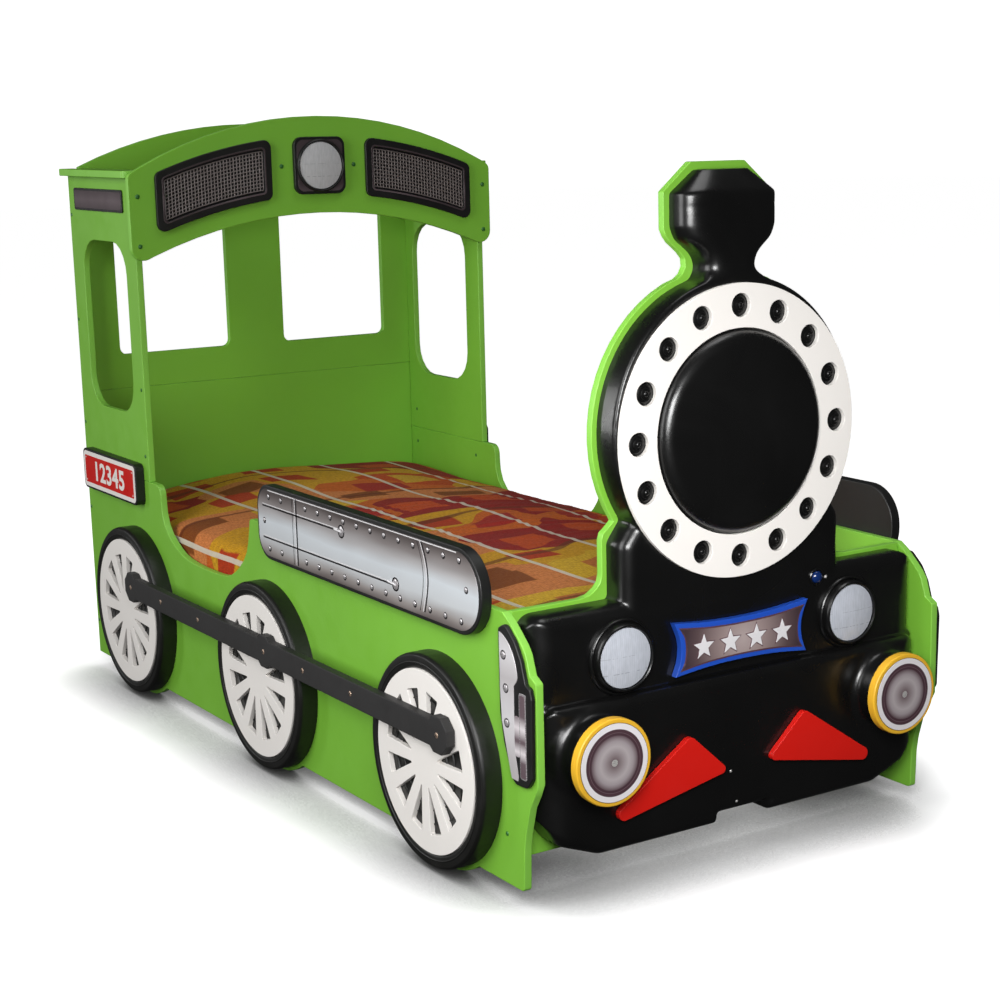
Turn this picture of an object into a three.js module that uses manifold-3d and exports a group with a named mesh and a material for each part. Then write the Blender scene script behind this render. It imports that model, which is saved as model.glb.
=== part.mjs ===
// A child's single bed built as a steam locomotive: painted boards, a moulded black front, six bolted-on
// wheels with coupling rods, and a loose mattress with its cover on a slatted base.
// Millimetres, +Z up. The locomotive faces -Y, X runs across it, and the floor is Z = 0.

import * as THREE from "three";
import { mergeVertices } from "three/addons/utils/BufferGeometryUtils.js";
import Module from "manifold-3d";

const wasm = await Module();
wasm.setup();

// ---- Driving dimensions ----

const GAP = 0.3; // clearance between pieces that touch
const BOARD = 16; // thickness of every painted board
const OUTER_X = 475; // outer face of the side boards
const INNER_X = OUTER_X - BOARD; // inner face of the side boards
const REAR_Y = 1069.5; // rear edge of the side boards
const PANEL_BOTTOM = 33; // straight lower edge of the side panels
const PANEL_TOP = 539.2; // top of the side panels, where the cab starts

const HUB_Z = 213; // height of the wheel hubs
const HUB_Y = [746.5, 14.1, -705.0]; // rear, middle and front hubs
const WHEEL_NAMES = ["rear", "middle", "front"];
const LOBE_RADIUS = 214; // round lobe of the side panel behind each wheel
const TYRE_RADIUS = 204.7;
const TYRE_INNER_RADIUS = 176.3;
const TYRE_WIDTH = 42.7;
const WHEEL_RECESS = 11; // depth of the dish that holds the spoke disc
const WHEEL_SEGMENTS = 32;
const SPOKES = 12;

const CAB_FRONT_Y = 655.5; // front edge of the cab side boards
const CAB_TOP = 1255.2;
const ARCH_HALF_WIDTH = 490;
const BACK_FACE_Y = 1032.5; // inner face of the back panels
const BACK_SEAM_Z = 719;

const BOARD_FRONT_Y = -928; // front face of the green front board
const SMOKEBOX_Z = 823; // centre of the round smokebox front
const SMOKEBOX_FACE_Y = -984.5;
const BOX_FACE_Y = -985.5; // face that carries the headlights
const BUMPER_FACE_Y = -1008.5;
const BUFFER_FACE_Y = -1073.5;
const LEDGE_Z = 366; // where the bumper meets the headlight box
const RING_Z = 814; // the ring and the door inside it sit a little low on the smokebox
const RING_OUTER = 269.4;
const RING_INNER = 189;
const RING_BOLT_CIRCLE = 229.5;
const RING_BOLTS = 16;
const RING_HOLE_RADIUS = 21.5;

const HEADLIGHT = { x: 268, z: 435, lens: 56, bezel: 71 };
const BUFFER = { x: 345, z: 274, radius: 80, face: 71.5, boss: 70 };
const BUTTON = { x: 192, z: 514, radius: 12, hole: 12.8 };

const ROD_Z = 288.5; // centre line of the coupling rods
const ROD_HALF_HEIGHT = 25.5;
const CRANK_OFFSET_Y = -82; // crank centre, measured from its hub
const CRANK_RADIUS = 35;
const ROD_OUTER_X = 537;

const SLAT_TOP = 276;
const MATTRESS = { width: 890, length: 1900, height: 150 };
const CROWN = 36; // rise of the mattress's top from its long edges to its middle
const BED_CENTRE_Y = 60;

// ---- Looks ----

const LOOKS = {
  green: { color: 0x6fb83a, roughness: 0.42, metalness: 0 },
  moulding: { color: 0x0b0b0b, roughness: 0.25, metalness: 0 },
  black: { color: 0x171717, roughness: 0.5, metalness: 0 },
  rod: { color: 0x2a2a2b, roughness: 0.6, metalness: 0 },
  white: { color: 0xe6e3df, roughness: 0.45, metalness: 0 },
  red: { color: 0xc8190f, roughness: 0.35, metalness: 0 },
  yellow: { color: 0xe3b52c, roughness: 0.4, metalness: 0 },
  lens: { color: 0xb4bccb, roughness: 0.3, metalness: 0 },
  blue: { color: 0x2b4fa6, roughness: 0.35, metalness: 0 },
  print: { color: 0x9d9aa0, roughness: 0.3, metalness: 0.3 },
  mauve: { color: 0x5d5056, roughness: 0.4, metalness: 0.2 },
  mesh: { color: 0x77716f, roughness: 0.5, metalness: 0.3 },
  slat: { color: 0xc9a46f, roughness: 0.6, metalness: 0 },
  mattress: { color: 0xece7db, roughness: 0.9, metalness: 0 },
  cover: { color: 0xb5581f, roughness: 0.9, metalness: 0 },
};

// ---- Outlines: lists of [u, v] points ----

const radians = THREE.MathUtils.degToRad;

// Points on a circle about (centreU, centreV), from one angle to another in degrees.
function arc(centreU, centreV, radius, from, to, count) {
  return Array.from({ length: count + 1 }, (_, i) => {
    const angle = radians(from + ((to - from) * i) / count);
    return [centreU + radius * Math.cos(angle), centreV + radius * Math.sin(angle)];
  });
}

function circle(centreU, centreV, radius, count) {
  return arc(centreU, centreV, radius, 0, 360, count).slice(0, -1);
}

// A smooth line through the given points.
function smooth(points, count) {
  const curve = new THREE.SplineCurve(points.map(([u, v]) => new THREE.Vector2(u, v)));
  return curve.getSpacedPoints(count).map((point) => [point.x, point.y]);
}

// A closed outline from corners [u, v] or [u, v, radius], with the given radii rounded off.
function rounded(corners, step = 18) {
  const points = [];
  corners.forEach(([u, v, radius = 0], i) => {
    const corner = new THREE.Vector2(u, v);
    if (radius === 0) {
      points.push([u, v]);
      return;
    }
    const before = corners.at(i - 1);
    const after = corners[(i + 1) % corners.length];
    const toBefore = new THREE.Vector2(before[0], before[1]).sub(corner).normalize();
    const toAfter = new THREE.Vector2(after[0], after[1]).sub(corner).normalize();
    const halfAngle = Math.acos(toBefore.dot(toAfter)) / 2;
    const inward = toBefore.clone().add(toAfter).normalize();
    const centre = corner.clone().addScaledVector(inward, radius / Math.sin(halfAngle));
    const start = corner.clone().addScaledVector(toBefore, radius / Math.tan(halfAngle)).sub(centre);
    const end = corner.clone().addScaledVector(toAfter, radius / Math.tan(halfAngle)).sub(centre);
    const sweep = Math.atan2(start.cross(end), start.dot(end));
    const count = Math.max(1, Math.ceil(Math.abs(THREE.MathUtils.radToDeg(sweep)) / step));
    const from = THREE.MathUtils.radToDeg(start.angle());
    const to = from + THREE.MathUtils.radToDeg(sweep);
    points.push(...arc(centre.x, centre.y, radius, from, to, count));
  });
  return points;
}

function roundedRectangle(lowU, highU, lowV, highV, radius) {
  return rounded([
    [lowU, lowV, radius],
    [highU, lowV, radius],
    [highU, highV, radius],
    [lowU, highV, radius],
  ]);
}

// The outline whose right half is given from its top to its bottom.
function mirrored(half) {
  const left = half.map(([u, v]) => [-u, v]).reverse();
  return [...half, ...left];
}

function flipped(outline, side) {
  return outline.map(([u, v]) => [side * u, v]);
}

// Height of a shallow arch at distance u from its crown.
function archHeight(crown, radius, u) {
  return crown - radius + Math.sqrt(radius * radius - u * u);
}

function archLine(crown, radius, fromU, toU, count) {
  return Array.from({ length: count + 1 }, (_, i) => {
    const u = fromU + ((toU - fromU) * i) / count;
    return [u, archHeight(crown, radius, u)];
  });
}

// ---- Solids ----

// Matrices that turn a shape drawn in (u, v) and extruded along w: x is (y, z) along X, and so on.
const X = new THREE.Vector3(1, 0, 0);
const Y = new THREE.Vector3(0, 1, 0);
const Z = new THREE.Vector3(0, 0, 1);
const EXTRUDE_TURN = {
  x: new THREE.Matrix4().makeBasis(Y, Z, X),
  y: new THREE.Matrix4().makeBasis(X, Z, Y),
  z: new THREE.Matrix4().makeBasis(X, Y, Z),
};
const LATHE_TURN = {
  x: new THREE.Matrix4().makeBasis(Y, X, Z),
  y: new THREE.Matrix4().makeBasis(X, Y, Z),
};

// A closed geometry as a manifold-3d solid with its faces pointing out.
function solid(geometry) {
  const bare = geometry.clone();
  bare.deleteAttribute("normal");
  bare.deleteAttribute("uv");
  const merged = mergeVertices(bare, 1e-4);
  const build = (triVerts) =>
    new wasm.Manifold(
      new wasm.Mesh({ numProp: 3, vertProperties: merged.attributes.position.array, triVerts }),
    );
  const triVerts = new Uint32Array(merged.index.array);
  const made = build(triVerts);
  return made.volume() > 0 ? made : build(triVerts.reverse());
}

// Outline points in one winding: the outside of a shape runs anticlockwise and its holes clockwise.
function wound(outline, clockwise) {
  const points = outline.map(([u, v]) => new THREE.Vector2(u, v));
  return THREE.ShapeUtils.isClockWise(points) === clockwise ? points : points.reverse();
}

// A board or block with the outline across the axis, from low to high along it.
function prism(axis, outline, low, high, holes = []) {
  const shape = new THREE.Shape(wound(outline, false));
  shape.holes = holes.map((hole) => new THREE.Path(wound(hole, true)));
  const geometry = new THREE.ExtrudeGeometry(shape, { depth: high - low, bevelEnabled: false });
  geometry.translate(0, 0, low);
  geometry.applyMatrix4(EXTRUDE_TURN[axis]);
  return solid(geometry);
}

// As a prism along Y whose front edge (low Y) is rounded over by the given amount.
function moulded(outline, front, back, round) {
  const shape = new THREE.Shape(wound(outline, false));
  const geometry = new THREE.ExtrudeGeometry(shape, {
    depth: back - front,
    bevelEnabled: true,
    bevelThickness: round,
    bevelSize: round,
    bevelOffset: -round,
    bevelSegments: 2,
  });
  geometry.translate(0, 0, front + round);
  geometry.applyMatrix4(EXTRUDE_TURN.y);
  const behind = prism("y", roundedRectangle(-2000, 2000, -2000, 2000, 0), back, back + 500);
  return solid(geometry).subtract(behind);
}

// A turned piece: profile points are [radius, distance along the axis], starting and ending on the axis
// or closing on themselves.
function turned(axis, profile, segments) {
  const points = profile.map(([radius, along]) => new THREE.Vector2(radius, along));
  const geometry = new THREE.LatheGeometry(points, segments);
  geometry.applyMatrix4(LATHE_TURN[axis]);
  return solid(geometry);
}

function closed(profile) {
  return [...profile, profile[0]];
}

// ---- Scene helpers ----

const group = new THREE.Group();

function section() {
  const part = new THREE.Group();
  group.add(part);
  return part;
}

function put(parent, name, made, look, position = [0, 0, 0]) {
  const { numProp, vertProperties, triVerts } = made.getMesh();
  const geometry = new THREE.BufferGeometry();
  geometry.setAttribute("position", new THREE.BufferAttribute(new Float32Array(vertProperties), numProp));
  geometry.setIndex(new THREE.BufferAttribute(new Uint32Array(triVerts), 1));
  const flat = geometry.toNonIndexed();
  flat.computeVertexNormals();
  const mesh = new THREE.Mesh(flat, new THREE.MeshStandardMaterial(LOOKS[look]));
  mesh.name = name;
  mesh.position.set(...position);
  parent.add(mesh);
  return mesh;
}

const SIDES = [
  { name: "left", sign: -1 },
  { name: "right", sign: 1 },
];

// The span between two distances from the middle, on one side, as [low, high].
function spanX(sign, near, far) {
  return sign < 0 ? [-far, -near] : [near, far];
}

// ---- Side boards ----

function panelOutline() {
  const scoop = smooth(
    [
      [593.5, 500],
      [586.5, 459],
      [556.5, 424],
      [490, 392],
      [412, 382],
      [320, 381],
      [251, 385],
      [211, 395],
      [162.5, 423],
      [125, 462],
      [108, 512],
    ],
    22,
  );
  return rounded([
    [REAR_Y, PANEL_BOTTOM],
    [REAR_Y, PANEL_TOP],
    [595, PANEL_TOP, 24],
    ...scoop,
    [102, PANEL_TOP, 10],
    [-921, 536],
    [-943, 523],
    [-965.5, 504],
    [-984, 487],
    [-994.5, 473],
    [-1006.5, 438],
    [-1025.5, 428, 6],
    [-1025.5, 244],
    [-1013, 219],
    [-998.5, 196],
    [-982.5, 141],
    [-977.5, 111],
    [-974.5, PANEL_BOTTOM, 8],
  ]);
}

// The part of a wheel lobe below the panel: an arc with a flat foot on the floor.
function lobeOutline(hubY) {
  const footAngle = THREE.MathUtils.radToDeg(Math.asin(HUB_Z / LOBE_RADIUS));
  return [
    ...arc(hubY, HUB_Z, LOBE_RADIUS, -(180 - 42), -(180 - footAngle), 6),
    ...arc(hubY, HUB_Z, LOBE_RADIUS, -footAngle, -42, 6),
  ];
}

function sidePanel(sign) {
  const span = spanX(sign, INNER_X, OUTER_X);
  let panel = prism("x", panelOutline(), ...span);
  for (const hubY of HUB_Y) {
    panel = panel.add(prism("x", lobeOutline(hubY), ...span));
  }
  return panel;
}

function cabSide(sign) {
  const window = roundedRectangle(721.5, 998.5, 694.5, 1103, 78);
  const outline = rounded([
    [CAB_FRONT_Y, PANEL_TOP + GAP],
    [REAR_Y, PANEL_TOP + GAP],
    [REAR_Y, CAB_TOP],
    [CAB_FRONT_Y, CAB_TOP],
  ]);
  return prism("x", outline, ...spanX(sign, INNER_X, OUTER_X), [window]);
}

// ---- Cab ----

function backPanelLower() {
  const edge = INNER_X - GAP;
  const outline = roundedRectangle(-edge, edge, 93, BACK_SEAM_Z - GAP / 2, 3);
  return prism("y", outline, BACK_FACE_Y, BACK_FACE_Y + BOARD);
}

function backPanelUpper() {
  const edge = INNER_X - GAP;
  const half = [...archLine(1374, 1121, 0, edge, 8).slice(1), [edge, BACK_SEAM_Z + GAP / 2]];
  const windows = [-1, 1].map((sign) => flipped(roundedRectangle(78, 381, 805, 1195, 18), sign));
  return prism("y", [[0, 1374], ...mirrored(half)], BACK_FACE_Y, BACK_FACE_Y + BOARD, windows);
}

function cabArch() {
  const half = [
    ...archLine(1391, 1000, 0, 465, 8).slice(1),
    [ARCH_HALF_WIDTH, 1262, 18],
    [ARCH_HALF_WIDTH, 1049, 30],
    ...archLine(1159, 1150, 436, 0, 8).slice(0, -1),
  ];
  const left = half.map(([u, v, r]) => [-u, v, r]).reverse();
  const outline = rounded([[0, 1391], ...half, [0, 1159], ...left]);
  return prism("y", outline, CAB_FRONT_Y - BOARD, CAB_FRONT_Y - GAP);
}

// The eave lies on the cab side and steps round the back panel.
function eaveBoard(sign) {
  const inner = 430;
  const outer = 496;
  const beside = INNER_X;
  const front = CAB_FRONT_Y + GAP;
  const outline = rounded([
    [inner, front],
    [outer, front, 12],
    [outer, 1073.5, 6],
    [beside, 1073.5],
    [beside, BACK_FACE_Y - GAP],
    [inner, BACK_FACE_Y - GAP],
  ]);
  return prism("z", flipped(outline, sign), CAB_TOP + GAP, CAB_TOP + GAP + 17);
}

// ---- Front board and moulding ----

function frontBoard() {
  const chimneyFoot = smooth(
    [
      [123, 1180],
      [112, 1160],
      [93, 1144],
      [78, 1130],
      [74, 1117],
      [79, 1102],
      [92.5, 1091],
    ],
    8,
  );
  const half = [
    [62, 1297],
    [123.5, 1246],
    ...chimneyFoot,
    ...arc(0, SMOKEBOX_Z, 285, 66, -33, 16),
    [252, 656],
    [262, 648],
    [266, 636],
    [266, 574],
    [269, 560],
    [278, 549],
    [294, 539],
    [315, 535],
    [INNER_X - GAP, 535],
    [INNER_X - GAP, 78],
  ];
  return prism("y", mirrored(half), BOARD_FRONT_Y, BOARD_FRONT_Y + BOARD);
}

// Smokebox front with its chimney and pedestal, as one rounded-over outline.
function smokeboxOutline() {
  const chimneyFoot = smooth(
    [
      [110.5, 1184],
      [100, 1162],
      [80, 1146],
      [65, 1132],
      [58, 1114],
      [62, 1098],
      [75.5, 1082],
    ],
    6,
  );
  const half = [
    [57, 1283],
    [110.5, 1243],
    ...chimneyFoot,
    ...arc(0, SMOKEBOX_Z, 274, 68, -34, 13),
    [240, 650],
    [251, 640],
    [256, 626],
    [256, 420],
  ];
  return mirrored(half);
}

// The moulding stops against the front board; the hollow inside it (inset > 0) runs out through its back.
function mouldingBack(inset) {
  return inset > 0 ? BOARD_FRONT_Y + 50 : BOARD_FRONT_Y - GAP;
}

// Headlight box: front outline crossed with a plan that rounds its vertical edges.
function headlightBox(inset) {
  const edge = 455 - inset;
  const outline = roundedRectangle(-edge, edge, 330, 528 - inset, 24);
  const plan = roundedRectangle(-edge, edge, BOX_FACE_Y + inset, BOARD_FRONT_Y + 100, 30);
  const block = prism("y", outline, BOX_FACE_Y + inset, mouldingBack(inset));
  return block.intersect(prism("z", plan, 0, 1400));
}

function bumperBlock(inset) {
  const edge = 452 - inset;
  const bottom = 78 + inset;
  const half = rounded([
    [0, LEDGE_Z - inset],
    [edge - 30, LEDGE_Z - inset],
    [edge, LEDGE_Z - 29 - inset],
    [edge, 168],
    [408 - inset, 108 + inset, 20],
    [330, bottom, 30],
    [62 + inset, bottom],
    [58 + inset, bottom + 20],
    [0, bottom + 20],
  ]).filter(([u]) => u > 0);
  const plan = roundedRectangle(-edge, edge, BUMPER_FACE_Y + inset, BOARD_FRONT_Y + 100, 62 - inset);
  const ledge = [
    [BOARD_FRONT_Y + 10, 0],
    [BOARD_FRONT_Y + 10, LEDGE_Z - inset],
    [BOX_FACE_Y + 4 + inset, LEDGE_Z - inset],
    [BUMPER_FACE_Y + 4 + inset, LEDGE_Z - 14 - inset],
    [BUMPER_FACE_Y + inset, LEDGE_Z - 22 - inset],
    [BUMPER_FACE_Y + inset, 0],
  ];
  return prism("y", mirrored(half), BUMPER_FACE_Y + inset, mouldingBack(inset))
    .intersect(prism("z", plan, 0, 1400))
    .intersect(prism("x", ledge, -1000, 1000));
}

// A raised button profile, from the face it stands on (height 0) to its top.
function domeProfile(radius, height, shoulder) {
  return [
    [0, -2],
    [radius, -2],
    [radius, height - shoulder],
    [radius - shoulder, height],
    [0, height + shoulder * 0.2],
  ];
}

function frontDome() {
  const profile = [
    [0, 2],
    [RING_INNER - 2.5, 2],
    [RING_INNER - 2.5, -12],
    [RING_INNER - 10, -21],
    [RING_INNER - 45, -28],
    [0, -32],
  ];
  return turned("y", profile, 36).translate([0, SMOKEBOX_FACE_Y, RING_Z]);
}

function boltPositions() {
  return circle(0, RING_Z, RING_BOLT_CIRCLE, RING_BOLTS);
}

function frontShell() {
  const wall = 6;
  let shell = moulded(smokeboxOutline(), SMOKEBOX_FACE_Y, BOARD_FRONT_Y - GAP, 12);
  shell = shell.add(headlightBox(0)).add(bumperBlock(0)).add(frontDome());
  const bolt = turned("y", flipAlong(domeProfile(17, 11, 5)), 8);
  for (const [x, z] of boltPositions()) {
    shell = shell.add(bolt.translate([x, SMOKEBOX_FACE_Y, z]));
  }
  const boss = turned("y", flipAlong(bossProfile()), 28);
  for (const { sign } of SIDES) {
    shell = shell.add(boss.translate([sign * BUFFER.x, BUMPER_FACE_Y, BUFFER.z]));
  }
  const pocketDepth = SMOKEBOX_FACE_Y + wall;
  const openBack = mouldingBack(wall);
  shell = shell.subtract(prism("y", circle(0, SMOKEBOX_Z, 264, 24), pocketDepth, openBack));
  shell = shell.subtract(prism("y", roundedRectangle(-248, 248, 480, 630, 0), pocketDepth, openBack));
  shell = shell.subtract(prism("y", roundedRectangle(-48, 48, 1050, 1274, 0), pocketDepth, openBack));
  shell = shell.subtract(headlightBox(wall)).subtract(bumperBlock(wall));
  const button = prism("y", circle(BUTTON.x, BUTTON.z, BUTTON.hole, 16), BOX_FACE_Y - 5, openBack);
  return shell.subtract(button);
}

function flipAlong(profile) {
  return profile.map(([radius, along]) => [radius, -along]);
}

// Boss that carries a buffer: flared foot, straight neck.
function bossProfile() {
  const reach = BUMPER_FACE_Y - (BUFFER_FACE_Y + 18.5 + GAP);
  return [
    [0, -20],
    [BUFFER.boss + 12, -20],
    [BUFFER.boss + 12, 1],
    [BUFFER.boss, 14],
    [BUFFER.boss, reach - 6],
    [BUFFER.boss - 6, reach],
    [0, reach],
  ];
}

function smokeboxRing() {
  const holes = boltPositions().map(([x, z]) => circle(x, z, RING_HOLE_RADIUS, 12));
  const bore = circle(0, RING_Z, RING_INNER, 36);
  const front = SMOKEBOX_FACE_Y - GAP - 10;
  return prism("y", circle(0, RING_Z, RING_OUTER, 48), front, SMOKEBOX_FACE_Y - GAP, [bore, ...holes]);
}

function headlightBezel() {
  const base = BOX_FACE_Y - GAP;
  return turned(
    "y",
    closed([
      [HEADLIGHT.bezel, base],
      [HEADLIGHT.bezel, base - 10],
      [HEADLIGHT.bezel - 4, base - 15],
      [HEADLIGHT.lens + 3, base - 21],
      [HEADLIGHT.lens + GAP, base - 19],
      [HEADLIGHT.lens + GAP, base],
    ]),
    28,
  );
}

function headlightLens() {
  const base = BOX_FACE_Y - GAP;
  const profile = [
    [0, base],
    [HEADLIGHT.lens, base],
    [HEADLIGHT.lens, base - 17],
    [HEADLIGHT.lens * 0.6, base - 21],
    [0, base - 23],
  ];
  return turned("y", profile, 28);
}

// Plate with four drawn-in edges and pointed corners.
function nameplateOutline(inset) {
  const top = smooth(
    [
      [-158 + inset, 479.5 - inset],
      [0, 469 - inset],
      [158 - inset, 479.5 - inset],
    ],
    8,
  );
  const bottom = smooth(
    [
      [155 - inset, 378.5 + inset],
      [0, 389 + inset],
      [-155 + inset, 378.5 + inset],
    ],
    8,
  );
  return [...top, [145 - inset, 452], [141.5 - inset, 429], [144 - inset, 404], ...bottom]
    .concat([
      [-144 + inset, 404],
      [-141.5 + inset, 429],
      [-145 + inset, 452],
    ]);
}

function redPlate(sign) {
  const outline = rounded([
    [136, 270, 14],
    [46, 186, 9],
    [346, 127, 13],
  ]);
  return prism("y", flipped(outline, sign), -1021.5, BUMPER_FACE_Y - GAP);
}

function lightButton() {
  const seat = BOX_FACE_Y;
  const profile = [
    [0, seat + 26],
    [BUTTON.radius - 3, seat + 26],
    [BUTTON.radius - 3, seat],
    [BUTTON.radius, seat - 0.5],
    [BUTTON.radius, seat - 4],
    [BUTTON.radius - 3, seat - 8],
    [0, seat - 10],
  ];
  return turned("y", profile, 20);
}

function bufferDisc() {
  const face = BUFFER_FACE_Y + 1.5;
  const profile = [
    [0, face + 17],
    [BUFFER.radius, face + 17],
    [BUFFER.radius, face + 3],
    [BUFFER.radius - 3, face],
    [0, face],
  ];
  return turned("y", profile, 36);
}

function bufferFace() {
  return prism("y", circle(0, 0, BUFFER.face, 36), BUFFER_FACE_Y, BUFFER_FACE_Y + 1.2);
}

// ---- Wheels and rods ----

// A dished tyre, turned about X: hollow behind, its back edge at 0 and its rolled edge outwards.
function tyre(sign) {
  const floor = TYRE_WIDTH - WHEEL_RECESS;
  const wall = 7;
  const profile = [
    [0, floor - wall],
    [TYRE_RADIUS - wall, floor - wall],
    [TYRE_RADIUS - wall, 0],
    [TYRE_RADIUS, 0],
    [TYRE_RADIUS, TYRE_WIDTH - 11],
    [TYRE_RADIUS - 5, TYRE_WIDTH - 3],
    [TYRE_RADIUS - 13, TYRE_WIDTH],
    [TYRE_INNER_RADIUS + 3, TYRE_WIDTH - 1],
    [TYRE_INNER_RADIUS, TYRE_WIDTH - 4],
    [TYRE_INNER_RADIUS, floor],
    [0, floor],
  ];
  return turned("x", profile.map(([radius, along]) => [radius, sign * along]), WHEEL_SEGMENTS);
}

// Spoked disc with wedge windows, flat, centred on its hub.
function spokeDisc(sign) {
  const inner = 50;
  const outer = 139.5;
  const pointHalfAngle = 1.6;
  const wideHalfAngle = 8.6;
  const windows = Array.from({ length: SPOKES }, (_, i) => {
    const middle = ((i + 0.5) * 360) / SPOKES;
    const point = arc(0, 0, inner, middle + pointHalfAngle, middle - pointHalfAngle, 1);
    return [...point, ...arc(0, 0, outer, middle - wideHalfAngle, middle + wideHalfAngle, 2)];
  });
  const face = TYRE_WIDTH;
  const back = TYRE_WIDTH - WHEEL_RECESS + GAP;
  const rim = circle(0, 0, TYRE_INNER_RADIUS - GAP, WHEEL_SEGMENTS);
  return prism("x", rim, ...spanX(sign, back, face), windows);
}

function couplingRod(sign) {
  const span = spanX(sign, OUTER_X + GAP + TYRE_WIDTH + GAP, ROD_OUTER_X);
  const cranks = HUB_Y.map((hubY) => hubY + CRANK_OFFSET_Y);
  const bar = roundedRectangle(
    cranks.at(-1),
    cranks[0],
    ROD_Z - ROD_HALF_HEIGHT,
    ROD_Z + ROD_HALF_HEIGHT,
    0,
  );
  let rod = prism("x", bar, ...span);
  for (const crankY of cranks) {
    rod = rod.add(prism("x", circle(crankY, ROD_Z, CRANK_RADIUS, 16), ...span));
  }
  return rod;
}

// ---- Bolted-on plates ----

const BOILER_PLATE = { rear: 9.5, front: -891.5, bottom: 477, top: 637, x: 498 };

function boilerOutline(inset) {
  return rounded([
    [BOILER_PLATE.front + inset, BOILER_PLATE.bottom + inset, 76 - inset],
    [BOILER_PLATE.rear - inset, BOILER_PLATE.bottom + inset, 52 - inset],
    [BOILER_PLATE.rear - inset, BOILER_PLATE.top - inset, 52 - inset],
    [BOILER_PLATE.front + inset, BOILER_PLATE.top - inset, 78 - inset],
  ]);
}

function cornerTrim(sign) {
  const outline = rounded([
    [-920.5, 509],
    [-941, 521, 14],
    [-973, 494],
    [-991, 465],
    [-1000, 438],
    [-1005, 424],
    [-1019, 418],
    [-1024, 400],
    [-1021, 256],
    [-1006, 236, 14],
    [-962, 234, 16],
    [-932, 303],
    [-921, 358],
  ]);
  return prism("x", outline, ...spanX(sign, OUTER_X + GAP, 485));
}

// One framed grille of the cab front, following the arch: x from 128 to 426.
function grilleOutline(inset) {
  const near = 128 + inset;
  const far = 426 - inset;
  const top = (x) => archHeight(1345 - inset, 1175, x);
  const bottom = (x) => archHeight(1202 + inset, 1190, x);
  const round = Math.max(18 - inset * 0.5, 6);
  const middles = [203, 277, 351];
  return rounded([
    [near, top(near), round],
    ...middles.map((x) => [x, top(x)]),
    [far, top(far), round],
    [far, bottom(far), round],
    ...middles.reverse().map((x) => [x, bottom(x)]),
    [near, bottom(near), round],
  ]);
}

const ARCH_FACE_Y = CAB_FRONT_Y - BOARD;

function grilleFrame(sign) {
  const hole = flipped(grilleOutline(20), sign);
  return prism("y", flipped(grilleOutline(0), sign), ARCH_FACE_Y - 10, ARCH_FACE_Y - GAP, [hole]);
}

function grilleMesh(sign) {
  const insert = flipped(grilleOutline(20 + GAP), sign);
  return prism("y", insert, ARCH_FACE_Y - 6, ARCH_FACE_Y - GAP);
}

const LAMP = { x: 0, z: 1273, half: 68.5, lens: 57 };

function lampHousing() {
  const plate = roundedRectangle(
    LAMP.x - LAMP.half,
    LAMP.x + LAMP.half,
    LAMP.z - LAMP.half,
    LAMP.z + LAMP.half,
    22,
  );
  const ring = closed([
    [LAMP.lens + 7, 2],
    [LAMP.lens + 7, -4],
    [LAMP.lens + 5, -7],
    [LAMP.lens + GAP, -7],
    [LAMP.lens + GAP, 2],
  ]);
  const hole = circle(LAMP.x, LAMP.z, LAMP.lens + GAP, 24);
  const face = ARCH_FACE_Y - 12;
  return prism("y", plate, face, ARCH_FACE_Y - GAP, [hole]).add(
    turned("y", ring, 24).translate([LAMP.x, face, LAMP.z]),
  );
}

function lampLens() {
  const profile = [
    [0, -GAP],
    [LAMP.lens, -GAP],
    [LAMP.lens, -17],
    [LAMP.lens * 0.7, -20],
    [0, -22],
  ];
  return turned("y", profile, 24);
}

// ---- Bed ----

function bedRail(sign) {
  const [low, high] = spanX(sign, 429, INNER_X - GAP);
  const front = BOARD_FRONT_Y + BOARD + GAP;
  return prism("z", roundedRectangle(low, high, front, BACK_FACE_Y - GAP, 0), 218, 257.7);
}

function slatBase() {
  const slats = 13;
  const slatWidth = 70;
  const first = -870;
  const pitch = (995 - 40 - first) / (slats - 1);
  const bottom = 258;
  let base = null;
  for (const x of [-215, 215]) {
    const batten = roundedRectangle(x - 22, x + 22, first, 995, 0);
    const made = prism("z", batten, bottom - 16, bottom + 2);
    base = base ? base.add(made) : made;
  }
  for (let i = 0; i < slats; i += 1) {
    const y = first + i * pitch;
    base = base.add(prism("z", roundedRectangle(-455, 455, y, y + slatWidth, 0), bottom, SLAT_TOP));
  }
  return base;
}

// Half of the mattress's cross-section, grown outwards by the given amount, with a gently crowned top.
function mattressSection(grow, bottom, bottomRadius) {
  const edge = MATTRESS.width / 2 + grow;
  const shoulderZ = SLAT_TOP + MATTRESS.height + grow;
  const half = [
    ...archLine(shoulderZ + CROWN, 2880, 60, edge - 14, 6),
    [edge - 4, shoulderZ - 8],
    [edge, shoulderZ - 20],
    [edge, bottom + bottomRadius],
    [edge - bottomRadius, bottom],
  ];
  return mirrored(half);
}

function mattress() {
  const halfLength = MATTRESS.length / 2;
  const outline = mattressSection(0, SLAT_TOP + GAP, 18);
  return prism("y", outline, BED_CENTRE_Y - halfLength, BED_CENTRE_Y + halfLength);
}

// Cover: the top, sides and ends of one cloth that lies over the mattress, open below.
function bedCover() {
  const clear = 0.8;
  const cloth = 8;
  const hem = 330;
  const inner = MATTRESS.length / 2 + clear;
  const outer = inner + cloth;
  const outside = mattressSection(clear + cloth, hem, 2);
  const inside = mattressSection(clear, 0, 0.5);
  return prism("y", outside, BED_CENTRE_Y - outer, BED_CENTRE_Y + outer).subtract(
    prism("y", inside, BED_CENTRE_Y - inner, BED_CENTRE_Y + inner),
  );
}

// ---- Assembly ----

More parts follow.
